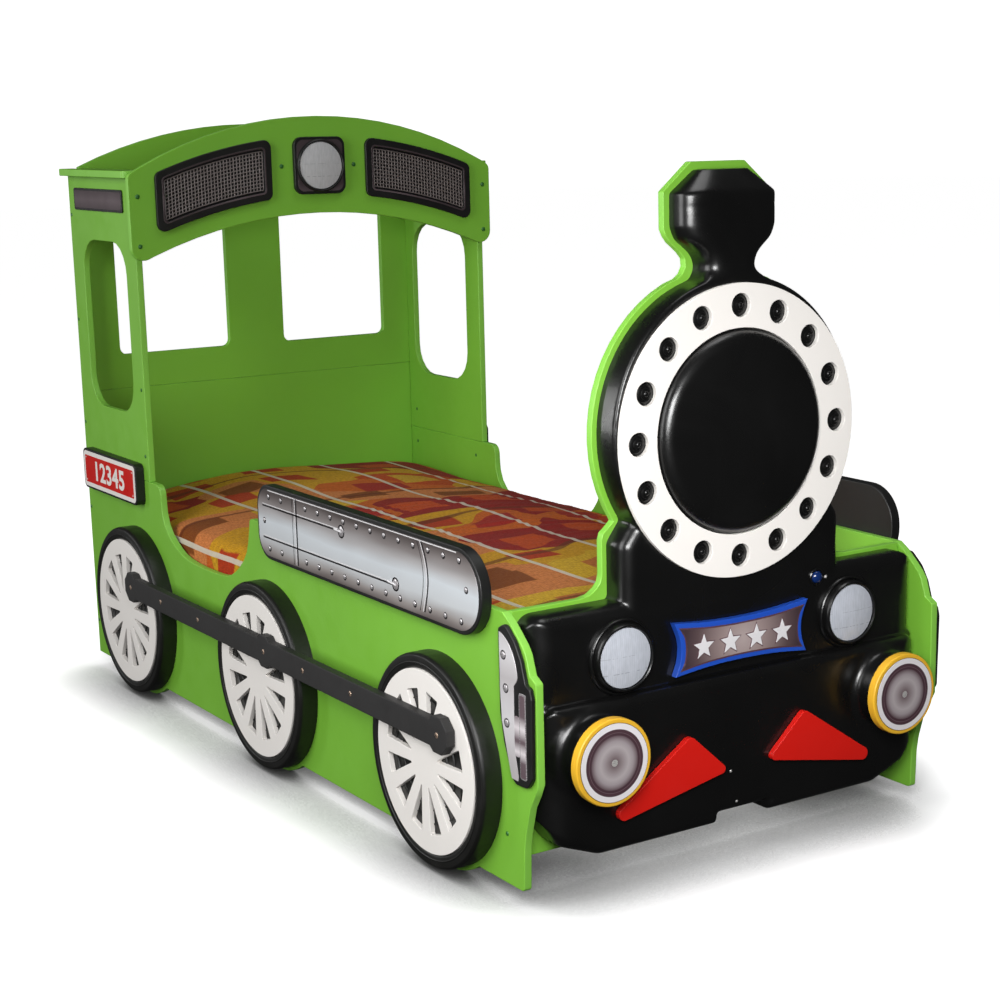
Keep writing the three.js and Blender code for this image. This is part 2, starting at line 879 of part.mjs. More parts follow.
const body = section();
for (const { name, sign } of SIDES) {
  put(body, `side_panel_${name}`, sidePanel(sign), "green");
  put(body, `cab_side_${name}`, cabSide(sign), "green");
  put(body, `eave_board_${name}`, eaveBoard(sign), "green");
}
put(body, "back_panel_lower", backPanelLower(), "green");
put(body, "back_panel_upper", backPanelUpper(), "green");
put(body, "cab_front_arch", cabArch(), "green");
put(body, "front_board", frontBoard(), "green");

const front = section();
put(front, "front_shell", frontShell(), "moulding");
put(front, "smokebox_ring", smokeboxRing(), "white");
put(front, "nameplate_board", prism("y", nameplateOutline(0), -1001, BOX_FACE_Y - GAP), "blue");
put(front, "nameplate_face", prism("y", nameplateOutline(9), -1002.5, -1001 - GAP), "mauve");
put(front, "light_button", lightButton(), "blue", [BUTTON.x, 0, BUTTON.z]);
for (const { name, sign } of SIDES) {
  const lightAt = [sign * HEADLIGHT.x, 0, HEADLIGHT.z];
  const bufferAt = [sign * BUFFER.x, 0, BUFFER.z];
  put(front, `headlight_bezel_${name}`, headlightBezel(), "moulding", lightAt);
  put(front, `headlight_lens_${name}`, headlightLens(), "lens", lightAt);
  put(front, `buffer_disc_${name}`, bufferDisc(), "yellow", bufferAt);
  put(front, `buffer_face_${name}`, bufferFace(), "white", bufferAt);
  put(front, `red_plate_${name}`, redPlate(sign), "red");
}

const running = section();
for (const { name, sign } of SIDES) {
  HUB_Y.forEach((hubY, i) => {
    const wheel = new THREE.Group();
    wheel.position.set(sign * (OUTER_X + GAP), hubY, HUB_Z);
    running.add(wheel);
    put(wheel, `tyre_${WHEEL_NAMES[i]}_${name}`, tyre(sign), "black");
    put(wheel, `spoke_disc_${WHEEL_NAMES[i]}_${name}`, spokeDisc(sign), "white");
  });
  put(running, `coupling_rod_${name}`, couplingRod(sign), "rod");
}

const plates = section();
for (const { name, sign } of SIDES) {
  const onBoard = OUTER_X + GAP;
  const boilerX = BOILER_PLATE.x;
  const boilerFace = prism("x", boilerOutline(8), ...spanX(sign, boilerX + GAP, boilerX + 1.8));
  const boilerPlate = prism("x", boilerOutline(0), ...spanX(sign, onBoard, boilerX));
  const numberOutline = roundedRectangle(686.5, 1031.5, 479, 580, 16);
  const numberPlate = prism("x", numberOutline, ...spanX(sign, onBoard, 499));
  const badge = prism("x", roundedRectangle(713.5, 1023.5, 1174, 1227, 6), ...spanX(sign, onBoard, 480));
  put(plates, `boiler_plate_${name}`, boilerPlate, "black");
  put(plates, `boiler_face_${name}`, boilerFace, "print");
  put(plates, `corner_trim_${name}`, cornerTrim(sign), "black");
  put(plates, `number_plate_${name}`, numberPlate, "black");
  put(plates, `badge_plate_${name}`, badge, "mauve");
  put(plates, `grille_frame_${name}`, grilleFrame(sign), "black");
  put(plates, `grille_mesh_${name}`, grilleMesh(sign), "mesh");
}
put(plates, "cab_lamp_housing", lampHousing(), "mauve");
put(plates, "cab_lamp_lens", lampLens(), "lens", [LAMP.x, ARCH_FACE_Y, LAMP.z]);

const bed = section();
for (const { name, sign } of SIDES) {
  put(bed, `bed_rail_${name}`, bedRail(sign), "green");
}
put(bed, "slat_base", slatBase(), "slat");
put(bed, "mattress", mattress(), "mattress");
put(bed, "bed_cover", bedCover(), "cover");

export default group;
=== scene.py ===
"""The finished looks of a child's locomotive bed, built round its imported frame.

Sizes are millimetres in the frame's axes (+Z up, the locomotive faces -Y); meshes are made in metres.
"""

import math

import bmesh
import bpy
from mathutils import Matrix, Vector, noise


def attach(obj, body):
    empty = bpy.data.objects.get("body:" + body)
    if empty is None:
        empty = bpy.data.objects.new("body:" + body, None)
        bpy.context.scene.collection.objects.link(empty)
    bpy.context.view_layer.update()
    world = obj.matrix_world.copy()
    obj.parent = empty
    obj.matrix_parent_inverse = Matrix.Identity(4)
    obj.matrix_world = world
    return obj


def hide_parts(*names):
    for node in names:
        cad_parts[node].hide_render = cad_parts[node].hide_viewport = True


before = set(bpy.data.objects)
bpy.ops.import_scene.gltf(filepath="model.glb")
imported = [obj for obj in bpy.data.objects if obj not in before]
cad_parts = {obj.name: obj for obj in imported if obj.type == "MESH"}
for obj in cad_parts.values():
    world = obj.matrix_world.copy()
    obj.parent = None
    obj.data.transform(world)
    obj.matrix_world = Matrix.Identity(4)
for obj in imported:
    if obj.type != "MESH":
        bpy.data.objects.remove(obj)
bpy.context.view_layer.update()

MM = 0.001
GAP = 0.3
SIDES = (("left", -1), ("right", 1))

BOARD_THICKNESS = 16
PANEL_X = 475
ARCH_FACE_Y = 639.5
BACK_FACE_Y = 1048.5
BOARD_FACE_Y = -928.3
FACE_Y = -984.5
BOX_FACE_Y = -985.5
BUMPER_FACE_Y = -1008.5
CHIMNEY_FOOT_Z, CHIMNEY_TOP_Z = 1084, 1282
SMOKEBOX_Z = 823
RING_Z = 814
BOX_FOOT_Z, BOX_TOP_Z = 366, 530
HEADLIGHT_X, HEADLIGHT_Z = 268, 435
BUFFER_X, BUFFER_Z = 345, 274
BUTTON_SPOT = (192, 514)
HUB_Z = 213
HUB_Y = {"rear": 746.5, "middle": 14.1, "front": -705.0}
TYRE_RADIUS = 204.7
TYRE_INNER = 176.3
WHEEL_WIDTH = 42.7
ROD_Z = 288.5
ROD_FACE_X = 537
CRANK_OFFSET = -82
MATTRESS_TOP = 426
BED_CENTRE_Y = 60


# ---- Outlines: lists of (u, v) points in millimetres ----


def arc(centre_u, centre_v, radius, start, end, count):
    """Points on a circle, from one angle to another in degrees."""
    angles = [math.radians(start + (end - start) * i / count) for i in range(count + 1)]
    return [(centre_u + radius * math.cos(a), centre_v + radius * math.sin(a)) for a in angles]


def circle(centre_u, centre_v, radius, count=96):
    return arc(centre_u, centre_v, radius, 0, 360, count)[:-1]


def rounded(corners, step=6):
    """An outline from corners (u, v) or (u, v, radius), with the given radii rounded off."""
    points = []
    for i, corner in enumerate(corners):
        here = Vector(corner[:2])
        if len(corner) < 3:
            points.append(tuple(here))
            continue
        radius = corner[2]
        to_before = (Vector(corners[i - 1][:2]) - here).normalized()
        to_after = (Vector(corners[(i + 1) % len(corners)][:2]) - here).normalized()
        half = to_before.angle(to_after) / 2
        centre = here + (to_before + to_after).normalized() * (radius / math.sin(half))
        start = here + to_before * (radius / math.tan(half)) - centre
        end = here + to_after * (radius / math.tan(half)) - centre
        sweep = math.atan2(start.x * end.y - start.y * end.x, start.dot(end))
        count = max(2, round(abs(math.degrees(sweep)) / step))
        begin = math.degrees(math.atan2(start.y, start.x))
        points += arc(centre.x, centre.y, radius, begin, begin + math.degrees(sweep), count)
    return points


def rectangle(low_u, high_u, low_v, high_v, radius):
    corners = [(low_u, low_v), (high_u, low_v), (high_u, high_v), (low_u, high_v)]
    return rounded([(u, v, radius) for u, v in corners])


def smooth(points, per_span=6):
    """A smooth line through the given points."""
    ends = [points[0], *points, points[-1]]
    line = []
    for a, b, c, d in zip(ends, ends[1:], ends[2:], ends[3:]):
        for i in range(per_span):
            t = i / per_span
            weights = (
                -0.5 * t + t * t - 0.5 * t**3,
                1 - 2.5 * t * t + 1.5 * t**3,
                0.5 * t + 2 * t * t - 1.5 * t**3,
                -0.5 * t * t + 0.5 * t**3,
            )
            line.append(tuple(sum(w * p[k] for w, p in zip(weights, (a, b, c, d))) for k in (0, 1)))
    return [*line, points[-1]]


def mirrored(half):
    """The outline whose right half is given from its top to its bottom."""
    return [*half, *[(-u, v) for u, v in reversed(half)]]


def flip(outline, side):
    return [(side * u, v) for u, v in outline]


def ribbon(line, width):
    """The outline of a narrow strip along a line."""
    left, right = [], []
    for i, point in enumerate(line):
        here = Vector(point)
        along = (Vector(line[min(i + 1, len(line) - 1)]) - Vector(line[max(i - 1, 0)])).normalized()
        across = Vector((-along.y, along.x)) * width / 2
        left.append(tuple(here + across))
        right.append(tuple(here - across))
    return left + right[::-1]


def arch_height(crown, radius, u):
    return crown - radius + math.sqrt(radius * radius - u * u)


def star(centre_u, centre_v, outer, inner, points=5):
    angles = [math.pi / 2 + math.pi * i / points for i in range(2 * points)]
    radii = [outer, inner] * points
    return [(centre_u + r * math.cos(a), centre_v + r * math.sin(a)) for a, r in zip(angles, radii)]


# ---- Meshes ----


def place(axis, u, v, w):
    """A point drawn at (u, v) and w along the axis, in metres."""
    spot = {"x": (w, u, v), "y": (u, w, v), "z": (u, v, w)}[axis]
    return Vector(spot) * MM


def span_x(side, near, far):
    return (near, far) if side > 0 else (-far, -near)


def link(made):
    bpy.context.scene.collection.objects.link(made)
    return made


def evaluated_mesh(made):
    bpy.context.view_layer.update()
    graph = bpy.context.evaluated_depsgraph_get()
    return bpy.data.meshes.new_from_object(made.evaluated_get(graph))


class Shape:
    """A mesh in the making: plates, turned parts and wires, each with a material number."""

    def __init__(self):
        self.bm = bmesh.new()

    def take(self, mesh, axis, shift, material):
        """Adds a mesh drawn in (u, v, w) millimetres."""
        part = bmesh.new()
        part.from_mesh(mesh)
        bmesh.ops.remove_doubles(part, verts=part.verts, dist=0.01)
        for vertex in part.verts:
            u, v, w = vertex.co
            vertex.co = place(axis, u, v, w + shift)
        bmesh.ops.recalc_face_normals(part, faces=part.faces)
        for face in part.faces:
            face.material_index = material
        placed = bpy.data.meshes.new("part")
        part.to_mesh(placed)
        part.free()
        self.bm.from_mesh(placed)
        bpy.data.meshes.remove(placed)
        return self

    def plate(self, axis, outlines, low, high, edge=1.2, material=0, steps=2):
        """A plate with the outlines across the axis (an outline inside another is a hole)."""
        curve = bpy.data.curves.new("outline", "CURVE")
        curve.dimensions = "2D"
        curve.fill_mode = "BOTH"
        curve.extrude = (high - low) / 2 - edge
        curve.bevel_depth = edge
        curve.bevel_resolution = steps
        curve.offset = -edge
        for outline in outlines:
            spline = curve.splines.new("POLY")
            spline.points.add(len(outline) - 1)
            for point, (u, v) in zip(spline.points, outline):
                point.co = (u, v, 0, 1)
            spline.use_cyclic_u = True
        drawn = link(bpy.data.objects.new("outline", curve))
        mesh = evaluated_mesh(drawn)
        bpy.data.objects.remove(drawn)
        self.take(mesh, axis, (low + high) / 2, material)
        bpy.data.meshes.remove(mesh)
        return self

    def turned(self, axis, centre, profile, segments=64, material=0, ring=False):
        """A turned part about a line along the axis: profile points are (radius, distance along it)."""
        made = bmesh.new()
        rows = []
        for radius, along in profile:
            spots = [(centre[0], centre[1])] if radius == 0 else circle(*centre, radius, segments)
            rows.append([made.verts.new((u, v, along)) for u, v in spots])
        pairs = list(zip(rows, rows[1:]))
        if ring:
            pairs.append((rows[-1], rows[0]))
        for first, second in pairs:
            for i in range(segments):
                j = (i + 1) % segments
                corners = [first[i % len(first)], first[j % len(first)]]
                corners += [second[j % len(second)], second[i % len(second)]]
                made.faces.new(list(dict.fromkeys(corners)))
        mesh = bpy.data.meshes.new("turned")
        made.to_mesh(mesh)
        made.free()
        self.take(mesh, axis, 0, material)
        bpy.data.meshes.remove(mesh)
        return self

    def wire(self, points, radius, sides=6, material=0):
        """A round wire through points (x, y, z) in millimetres, closed at its ends."""
        rings = []
        for i, point in enumerate(points):
            along = Vector(points[min(i + 1, len(points) - 1)]) - Vector(points[max(i - 1, 0)])
            across = along.cross(Vector((0.31, 0.87, 0.38))).normalized()
            up = along.cross(across).normalized()
            turns = [2 * math.pi * k / sides for k in range(sides)]
            spots = [Vector(point) + radius * (across * math.cos(t) + up * math.sin(t)) for t in turns]
            rings.append([self.bm.verts.new(spot * MM) for spot in spots])
        faces = [self.bm.faces.new(rings[0][::-1]), self.bm.faces.new(rings[-1])]
        for first, second in zip(rings, rings[1:]):
            for k in range(sides):
                j = (k + 1) % sides
                faces.append(self.bm.faces.new([first[k], first[j], second[j], second[k]]))
        for face in faces:
            face.material_index = material
        return self

    def stand_for(self, node, materials, slot, body="root"):
        """The finished piece that takes a CAD node's place."""
        return self.done(f"{node}_finished", materials, slot, body, [node])

    def done(self, name, materials, slot, body="root", replaces=(), crease=35):
        """The finished piece, riding on its body."""
        mesh = bpy.data.meshes.new(name)
        self.bm.to_mesh(mesh)
        self.bm.free()
        return finished(name, mesh, materials, body, replaces, crease)


def finished(name, mesh, materials, body="root", replaces=(), crease=35, flat=True):
    for material in materials:
        mesh.materials.append(material)
    mesh.shade_smooth()
    mesh.set_sharp_from_angle(angle=math.radians(crease))
    made = link(bpy.data.objects.new(name, mesh))
    if flat:
        weighted = made.modifiers.new("even_shading", "WEIGHTED_NORMAL")
        weighted.keep_sharp = True
    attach(made, body)
    if replaces:
        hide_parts(*replaces)
    return made


def eased_board(node, axis, materials, width=1.8):
    """A CAD board with its edges eased and its cut edges in the second material."""
    made = bmesh.new()
    made.from_mesh(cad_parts[node].data)
    bmesh.ops.remove_doubles(made, verts=made.verts, dist=1e-5)
    flat = math.radians(0.5)
    bmesh.ops.dissolve_limit(made, angle_limit=flat, verts=made.verts, edges=made.edges)
    sharp = [e for e in made.edges if e.is_manifold and e.calc_face_angle() > math.radians(30)]
    bmesh.ops.bevel(
        made,
        geom=sharp,
        offset=width * MM,
        offset_type="OFFSET",
        segments=2,
        profile=0.5,
        affect="EDGES",
        clamp_overlap=True,
    )
    for face in made.faces:
        face.material_index = 0 if abs(face.normal["xyz".index(axis)]) > 0.9 else 1
    mesh = bpy.data.meshes.new(node)
    made.to_mesh(mesh)
    made.free()
    return finished(f"{node}_finished", mesh, materials, replaces=[node])


# ---- Materials ----


def rgb(code, gain=1.0):
    """Linear colour from a six-digit sRGB code."""
    channels = [int(code[i : i + 2], 16) / 255 for i in (0, 2, 4)]
    linear = [c / 12.92 if c <= 0.04045 else ((c + 0.055) / 1.055) ** 2.4 for c in channels]
    return (*[min(1.0, c * gain) for c in linear], 1.0)


class Look:
    """A Principled material and the nodes that feed it."""

    def __init__(self, name, **sockets):
        self.material = bpy.data.materials.new(name)
        self.material.use_nodes = True
        self.tree = self.material.node_tree
        self.shader = self.tree.nodes["Principled BSDF"]
        for key, value in sockets.items():
            self.shader.inputs[key.replace("_", " ")].default_value = value
        self.space = self.node("TexCoord").outputs["Object"]

    def node(self, kind, **settings):
        made = self.tree.nodes.new("ShaderNode" + kind)
        for key, value in settings.items():
            setattr(made, key, value)
        return made

    def join(self, socket, value):
        if isinstance(value, bpy.types.NodeSocket):
            self.tree.links.new(value, socket)
        else:
            socket.default_value = value

    def feed(self, name, value):
        self.join(self.shader.inputs[name], value)

    def scaled(self, x, y, z, space=None):
        node = self.node("Mapping")
        self.join(node.inputs["Vector"], space or self.space)
        node.inputs["Scale"].default_value = (x, y, z)
        return node.outputs["Vector"]

    def noise(self, scale, detail=3.0, space=None, distortion=0.0):
        node = self.node("TexNoise")
        self.join(node.inputs["Vector"], space or self.space)
        node.inputs["Scale"].default_value = scale
        node.inputs["Detail"].default_value = detail
        node.inputs["Distortion"].default_value = distortion
        return node.outputs["Fac"]

    def axis(self, name, space=None):
        node = self.node("SeparateXYZ")
        self.join(node.inputs["Vector"], space or self.space)
        return node.outputs[name]

    def math(self, operation, first, second=0.0, clamp=False):
        node = self.node("Math", operation=operation, use_clamp=clamp)
        self.join(node.inputs[0], first)
        self.join(node.inputs[1], second)
        return node.outputs[0]

    def span(self, value, low, high, to_low, to_high):
        node = self.node("MapRange")
        self.join(node.inputs["Value"], value)
        bounds = {"From Min": low, "From Max": high, "To Min": to_low, "To Max": to_high}
        for key, limit in bounds.items():
            node.inputs[key].default_value = limit
        return node.outputs["Result"]

    def mix(self, factor, first, second, blend="MIX"):
        node = self.node("Mix", data_type="RGBA", blend_type=blend)
        self.join(node.inputs["Factor"], factor)
        colours = [s for s in node.inputs if s.type == "RGBA"]
        self.join(colours[0], first)
        self.join(colours[1], second)
        return next(s for s in node.outputs if s.type == "RGBA")

    def ramp(self, factor, stops, interpolation="LINEAR"):
        node = self.node("ValToRGB")
        ramp = node.color_ramp
        ramp.interpolation = interpolation
        while len(ramp.elements) < len(stops):
            ramp.elements.new(1.0)
        for element, (position, colour) in zip(ramp.elements, stops):
            element.position = position
            element.color = colour
        self.join(node.inputs["Fac"], factor)
        return node.outputs["Color"]

    def near(self, value, centre, width):
        """1 where the value is within half the width of the centre, else 0."""
        offset = self.math("ABSOLUTE", self.math("SUBTRACT", value, centre))
        return self.math("LESS_THAN", offset, width / 2)

    def from_centre(self, centre_x, centre_z):
        """Offsets across and up from a spot on the front, mirrored on the other side."""
        across = self.math("SUBTRACT", self.math("ABSOLUTE", self.axis("X")), centre_x * MM)
        up = self.math("SUBTRACT", self.axis("Z"), centre_z * MM)
        return across, up

    def print_finish(self, scale, low):
        """The faintly uneven gloss of a printed face."""
        self.feed("Roughness", self.span(self.noise(scale, 1), 0.3, 0.7, low, low + 0.05))
        self.bump(self.noise(900, 1), 0.05, 0.00003)

    def bump(self, height, strength, distance):
        node = self.node("Bump")
        node.inputs["Strength"].default_value = strength
        node.inputs["Distance"].default_value = distance
        self.join(node.inputs["Height"], height)
        self.feed("Normal", node.outputs["Normal"])


def painted(name, colour, roughness=0.4, variation=0.05, grain=700, depth=0.00012, **sockets):
    """Sprayed paint: broad unevenness in tone, a fine orange-peel surface and patches of duller gloss."""
    look = Look(name, **sockets)
    cloud = look.noise(3.5, 4)
    tone = look.mix(cloud, rgb(colour, 1 - 2 * variation), rgb(colour, 1 + 2 * variation))
    speck = look.span(look.noise(grain / 2, 2), 0.3, 0.7, 0, 1)
    look.feed("Base Color", look.mix(look.math("MULTIPLY", speck, variation), tone, rgb(colour, 0.8)))
    dull = look.noise(22, 5, distortion=0.4)
    look.feed("Roughness", look.span(dull, 0.3, 0.7, roughness - 0.06, roughness + 0.07))
    look.bump(look.noise(grain, 3), 0.5, depth)
    return look.material


def moulded_plastic():
    """Glossy vacuum-formed black plastic with a faint leather-like grain and a few dull handling marks."""
    look = Look("black_moulding", Specular_IOR_Level=0.5, Coat_Weight=0.15, Coat_Roughness=0.12)
    look.feed("Base Color", look.mix(look.noise(4), rgb("070707"), rgb("101010")))
    smear = look.noise(5, 5, distortion=1.2)
    look.feed("Roughness", look.span(smear, 0.35, 0.7, 0.24, 0.36))
    look.bump(look.noise(420, 4), 0.35, 0.0004)
    return look.material


def tyre_plastic():
    look = Look("tyre_black", Specular_IOR_Level=0.5)
    look.feed("Base Color", look.mix(look.noise(9), rgb("0d0d0c"), rgb("161614")))
    look.feed("Roughness", look.span(look.noise(30, 5), 0.3, 0.7, 0.36, 0.5))
    look.bump(look.noise(650, 3), 0.4, 0.0003)
    return look.material


def metal(name, colour, roughness=0.3):
    look = Look(name, Metallic=0.55, Specular_IOR_Level=0.8)
    brushed = look.noise(120, 3, look.scaled(1, 1, 14))
    look.feed("Base Color", look.mix(brushed, rgb(colour, 0.85), rgb(colour, 1.15)))
    look.feed("Roughness", look.span(brushed, 0.3, 0.7, roughness - 0.08, roughness + 0.12))
    look.bump(brushed, 0.15, 0.0001)
    return look.material


def wood(name, pale, dark):
    look = Look(name)
    stretched = look.scaled(2.0, 40, 40)
    rings = look.noise(3.0, 6, stretched, 1.5)
    fibres = look.noise(30, 4, stretched)
    tone = look.mix(look.span(rings, 0.35, 0.65, 0, 1), rgb(pale), rgb(dark))
    look.feed("Base Color", look.mix(look.math("MULTIPLY", fibres, 0.3), tone, rgb(dark, 0.8)))
    look.feed("Roughness", look.span(fibres, 0.3, 0.7, 0.5, 0.68))
    look.bump(fibres, 0.4, 0.0003)
    return look.material


def boiler_print():
    """The printed boiler: a cylinder's shading across its height and soft smudges along it."""
    look = Look("boiler_print", Metallic=0.25, Specular_IOR_Level=0.6)
    height = look.span(look.axis("Z"), 0.485, 0.629, 0, 1)
    smudge = look.span(look.noise(5, 1, look.scaled(1, 1, 6)), 0.3, 0.7, -0.03, 0.03)
    stops = [
        (0.0, rgb("6f6664")),
        (0.1, rgb("a19a97")),
        (0.26, rgb("d5d9dc")),
        (0.5, rgb("dde3e8")),
        (0.66, rgb("bcbabb")),
        (0.8, rgb("8d8685")),
        (0.94, rgb("59514f")),
        (1.0, rgb("4a4442")),
    ]
    look.feed("Base Color", look.ramp(look.math("ADD", height, smudge), stops))
    look.print_finish(12, 0.3)
    return look.material


def banded_print(name, colour, highlight, bands):
    """A printed plate with bright reflected bands at the given heights (centre, half width in metres)."""
    look = Look(name, Metallic=0.3, Specular_IOR_Level=0.6)
    along = look.axis("Z")
    glow = None
    for centre, half in bands:
        offset = look.math("ABSOLUTE", look.math("SUBTRACT", along, centre))
        band = look.span(offset, 0.0, half, 1.0, 0.0)
        glow = band if glow is None else look.math("MAXIMUM", glow, band)
    cloud = look.span(look.noise(14, 1), 0.3, 0.7, 0.0, 0.06)
    look.feed("Base Color", look.mix(look.math("ADD", glow, cloud, True), rgb(colour), rgb(highlight)))
    look.print_finish(20, 0.3)
    return look.material


def radial_print(name, centre_z, stops, half_side, centre_x):
    """A round print shaded by distance from its centre; both sides share it through |X|."""
    look = Look(name, Metallic=0.15, Specular_IOR_Level=0.5)
    across, up = look.from_centre(centre_x, centre_z)
    square = look.math("ADD", look.math("MULTIPLY", across, across), look.math("MULTIPLY", up, up))
    reach = look.math("DIVIDE", look.math("SQRT", square), half_side * MM)
    look.feed("Base Color", look.ramp(reach, stops))
    look.print_finish(20, 0.28)
    return look.material


def lens_print(name, centre_x, centre_z, tint):
    """A ribbed lamp glass: close upright ribs, two cross lines and a faint mottling."""
    look = Look(name, Specular_IOR_Level=0.7, Coat_Weight=0.4, Coat_Roughness=0.08)
    across, up = look.from_centre(centre_x, centre_z)
    rib = look.math("SINE", look.math("MULTIPLY", across, 2 * math.pi / 0.0042))
    mottle = look.span(look.noise(60, 4, look.scaled(3, 1, 1)), 0.3, 0.7, 0, 1)
    tone = look.mix(mottle, rgb(tint, 0.93), rgb(tint, 1.08))
    tone = look.mix(look.span(rib, -1, 1, 0, 0.22), tone, rgb(tint, 0.62))
    cross = look.math("ADD", look.near(up, -0.026, 0.0014), look.near(up, 0.004, 0.0008))
    broken = look.math("GREATER_THAN", look.noise(140, 2), 0.5)
    tone = look.mix(look.math("MULTIPLY", look.math("MULTIPLY", cross, broken), 0.45), tone, rgb("5c5f66"))
    look.feed("Base Color", tone)
    look.feed("Roughness", look.span(mottle, 0, 1, 0.16, 0.26))
    look.bump(rib, 0.25, 0.0004)
    return look.material


def ticking():
    look = Look("mattress_ticking", Roughness=0.9, Sheen_Weight=0.2)
    stripe = look.math("SINE", look.math("MULTIPLY", look.axis("X"), 2 * math.pi / 0.045))
    weave = look.noise(900, 2)
    tone = look.mix(look.math("GREATER_THAN", stripe, 0.8), rgb("e8e2d4"), rgb("8fa0b4"))
    look.feed("Base Color", look.mix(look.math("MULTIPLY", weave, 0.25), tone, rgb("c9c1b0")))
    look.bump(weave, 0.5, 0.0006)
    return look.material


def wavy_space(look, flat):
    """The flat cloth's coordinates, wavering slowly."""
    wobble = look.node("TexNoise")
    look.join(wobble.inputs["Vector"], flat)
    wobble.inputs["Scale"].default_value = 3.2
    wobble.inputs["Detail"].default_value = 1.0
    shift = look.node("VectorMath", operation="MULTIPLY_ADD")
    look.join(shift.inputs[0], wobble.outputs["Color"])
    shift.inputs[1].default_value = (0.10, 0.26, 0.0)
    look.join(shift.inputs[2], flat)
    return shift.outputs["Vector"]


def plaid_patches(look, wavy):
    """Patches of one colour inside another, with a thin brown line wandering across them."""
    patches = look.node("TexVoronoi", distance="CHEBYCHEV", voronoi_dimensions="2D")
    patches.inputs["Scale"].default_value = 1.0
    patches.inputs["Randomness"].default_value = 0.8
    look.join(patches.inputs["Vector"], look.scaled(4.6, 6.4, 1, wavy))
    pick = look.axis("X", patches.outputs["Color"])
    outer_colours = patch_colours(("e0a81e", "cf4f18", "e08a4a", "9e1f1c", "e8bc2c", "d96a20"))
    inner_colours = patch_colours(("c23c12", "e2b030", "8a4a14", "d2521c", "cf7a34", "b02a22"))
    outer = look.ramp(pick, outer_colours, "CONSTANT")
    inner = look.ramp(pick, inner_colours, "CONSTANT")
    rim = look.span(patches.outputs["Distance"], 0.24, 0.26, 0, 1)
    tone = look.mix(rim, inner, outer)
    line = look.node("TexWave", wave_type="BANDS", bands_direction="Y", wave_profile="SIN")
    look.join(line.inputs["Vector"], wavy)
    line.inputs["Scale"].default_value = 0.85
    line.inputs["Distortion"].default_value = 2.2
    line.inputs["Detail"].default_value = 0.5
    line.inputs["Detail Scale"].default_value = 0.8
    thin = look.math("GREATER_THAN", line.outputs["Fac"], 0.992)
    return look.mix(look.math("MULTIPLY", thin, 0.75), tone, rgb("6a2f14"))


def woven_plaid():
    """A woven throw: wavy patches of orange, gold, rust and crimson, and pale stripes along it."""
    look = Look("woven_cover", Sheen_Weight=0.04, Sheen_Roughness=0.5, Specular_IOR_Level=0.12)
    flat = look.node("UVMap", uv_map="flat").outputs["UV"]
    tone = plaid_patches(look, wavy_space(look, flat))
    along_thread = look.noise(150, 2, look.scaled(3, 0.5, 1, flat))
    cross_thread = look.noise(150, 2, look.scaled(0.5, 3, 1, flat))
    fleck = look.span(look.math("ADD", along_thread, cross_thread), 0.85, 1.2, 0, 1)
    tone = look.mix(look.math("MULTIPLY", fleck, 0.42), tone, rgb("6a200a"))
    across = look.axis("X", flat)
    phase = look.math("FRACT", look.math("DIVIDE", look.math("ADD", across, 0.94), 0.196))
    stripe = look.near(phase, 0.5, 0.058)
    tone = look.mix(look.math("MULTIPLY", stripe, 0.88), tone, rgb("dcd4c2"))
    thread = 2 * math.pi / 0.0042
    warp = look.math("SINE", look.math("MULTIPLY", across, thread))
    weft = look.math("SINE", look.math("MULTIPLY", look.axis("Y", flat), thread))
    weave = look.math("MULTIPLY", warp, weft)
    tone = look.mix(look.span(weave, -1, 1, 0.0, 0.3), tone, rgb("3a1206"))
    look.feed("Base Color", tone)
    look.feed("Roughness", look.span(fleck, 0, 1, 0.8, 0.92))
    look.bump(look.math("ADD", weave, fleck), 0.5, 0.0009)
    return look.material


def patch_colours(codes):
    """Even colour steps, offset so that the middle values, which are the commonest, are shared out."""
    return [(0.12 + 0.76 * i / len(codes) if i else 0.0, rgb(code)) for i, code in enumerate(codes)]


GREEN = painted("green_lacquer", "79b83a", 0.42)
# A lighter copy of the green paint for the boards' cut edges: a painted highlight where the edges catch the
# light.
GREEN_EDGE_HIGHLIGHT = painted("green_edge_painted_highlight", "84c64a", 0.45)
CAP_GREEN = painted("cap_green", "2f6a2c", 0.4)
BLACK_MOULDING = moulded_plastic()
TYRE_BLACK = tyre_plastic()
BLACK_PAINT = painted("black_paint", "121212", 0.45)
ROD_BLACK = painted("rod_black", "262525", 0.6, 0.12, 1200, 0.0003)
WHITE = painted("white_board", "ebe7e2", 0.45, 0.02)
RED = painted("red_board", "cf1a12", 0.33)
YELLOW = painted("yellow_board", "e2ae2e", 0.4)
BLUE = painted("blue_board", "1f4bb0", 0.32)
BUTTON_BLUE = painted("blue_button", "0c2558", 0.12, Coat_Weight=0.8, Coat_Roughness=0.05)
STEEL = metal("screw_steel", "dedbd8")
RIVET_STEEL = metal("rivet_steel", "bcb8ba", 0.22)
COPPER_SCREW = metal("screw_brown", "b39a86", 0.35)
DARK_LINE = painted("print_black", "151214", 0.35)
LIGHT_LINE = painted("print_light", "d6d4d6", 0.3)
PLUM = painted("print_plum", "54383f", 0.35)


# ---- Boards ----


def boards():
    # The cut edges take the lighter green, a painted highlight on the same paint.
    green = [GREEN, GREEN_EDGE_HIGHLIGHT]
    for name, _ in SIDES:
        eased_board(f"side_panel_{name}", "x", green)
        eased_board(f"cab_side_{name}", "x", green)
        eased_board(f"eave_board_{name}", "z", green)
        eased_board(f"bed_rail_{name}", "x", green)
    for node in ("back_panel_lower", "back_panel_upper", "cab_front_arch", "front_board"):
        eased_board(node, "y", green)
    slats = wood("slat_wood", "cfae7c", "a97f4c")
    eased_board("slat_base", "z", [slats, slats], 1.2)


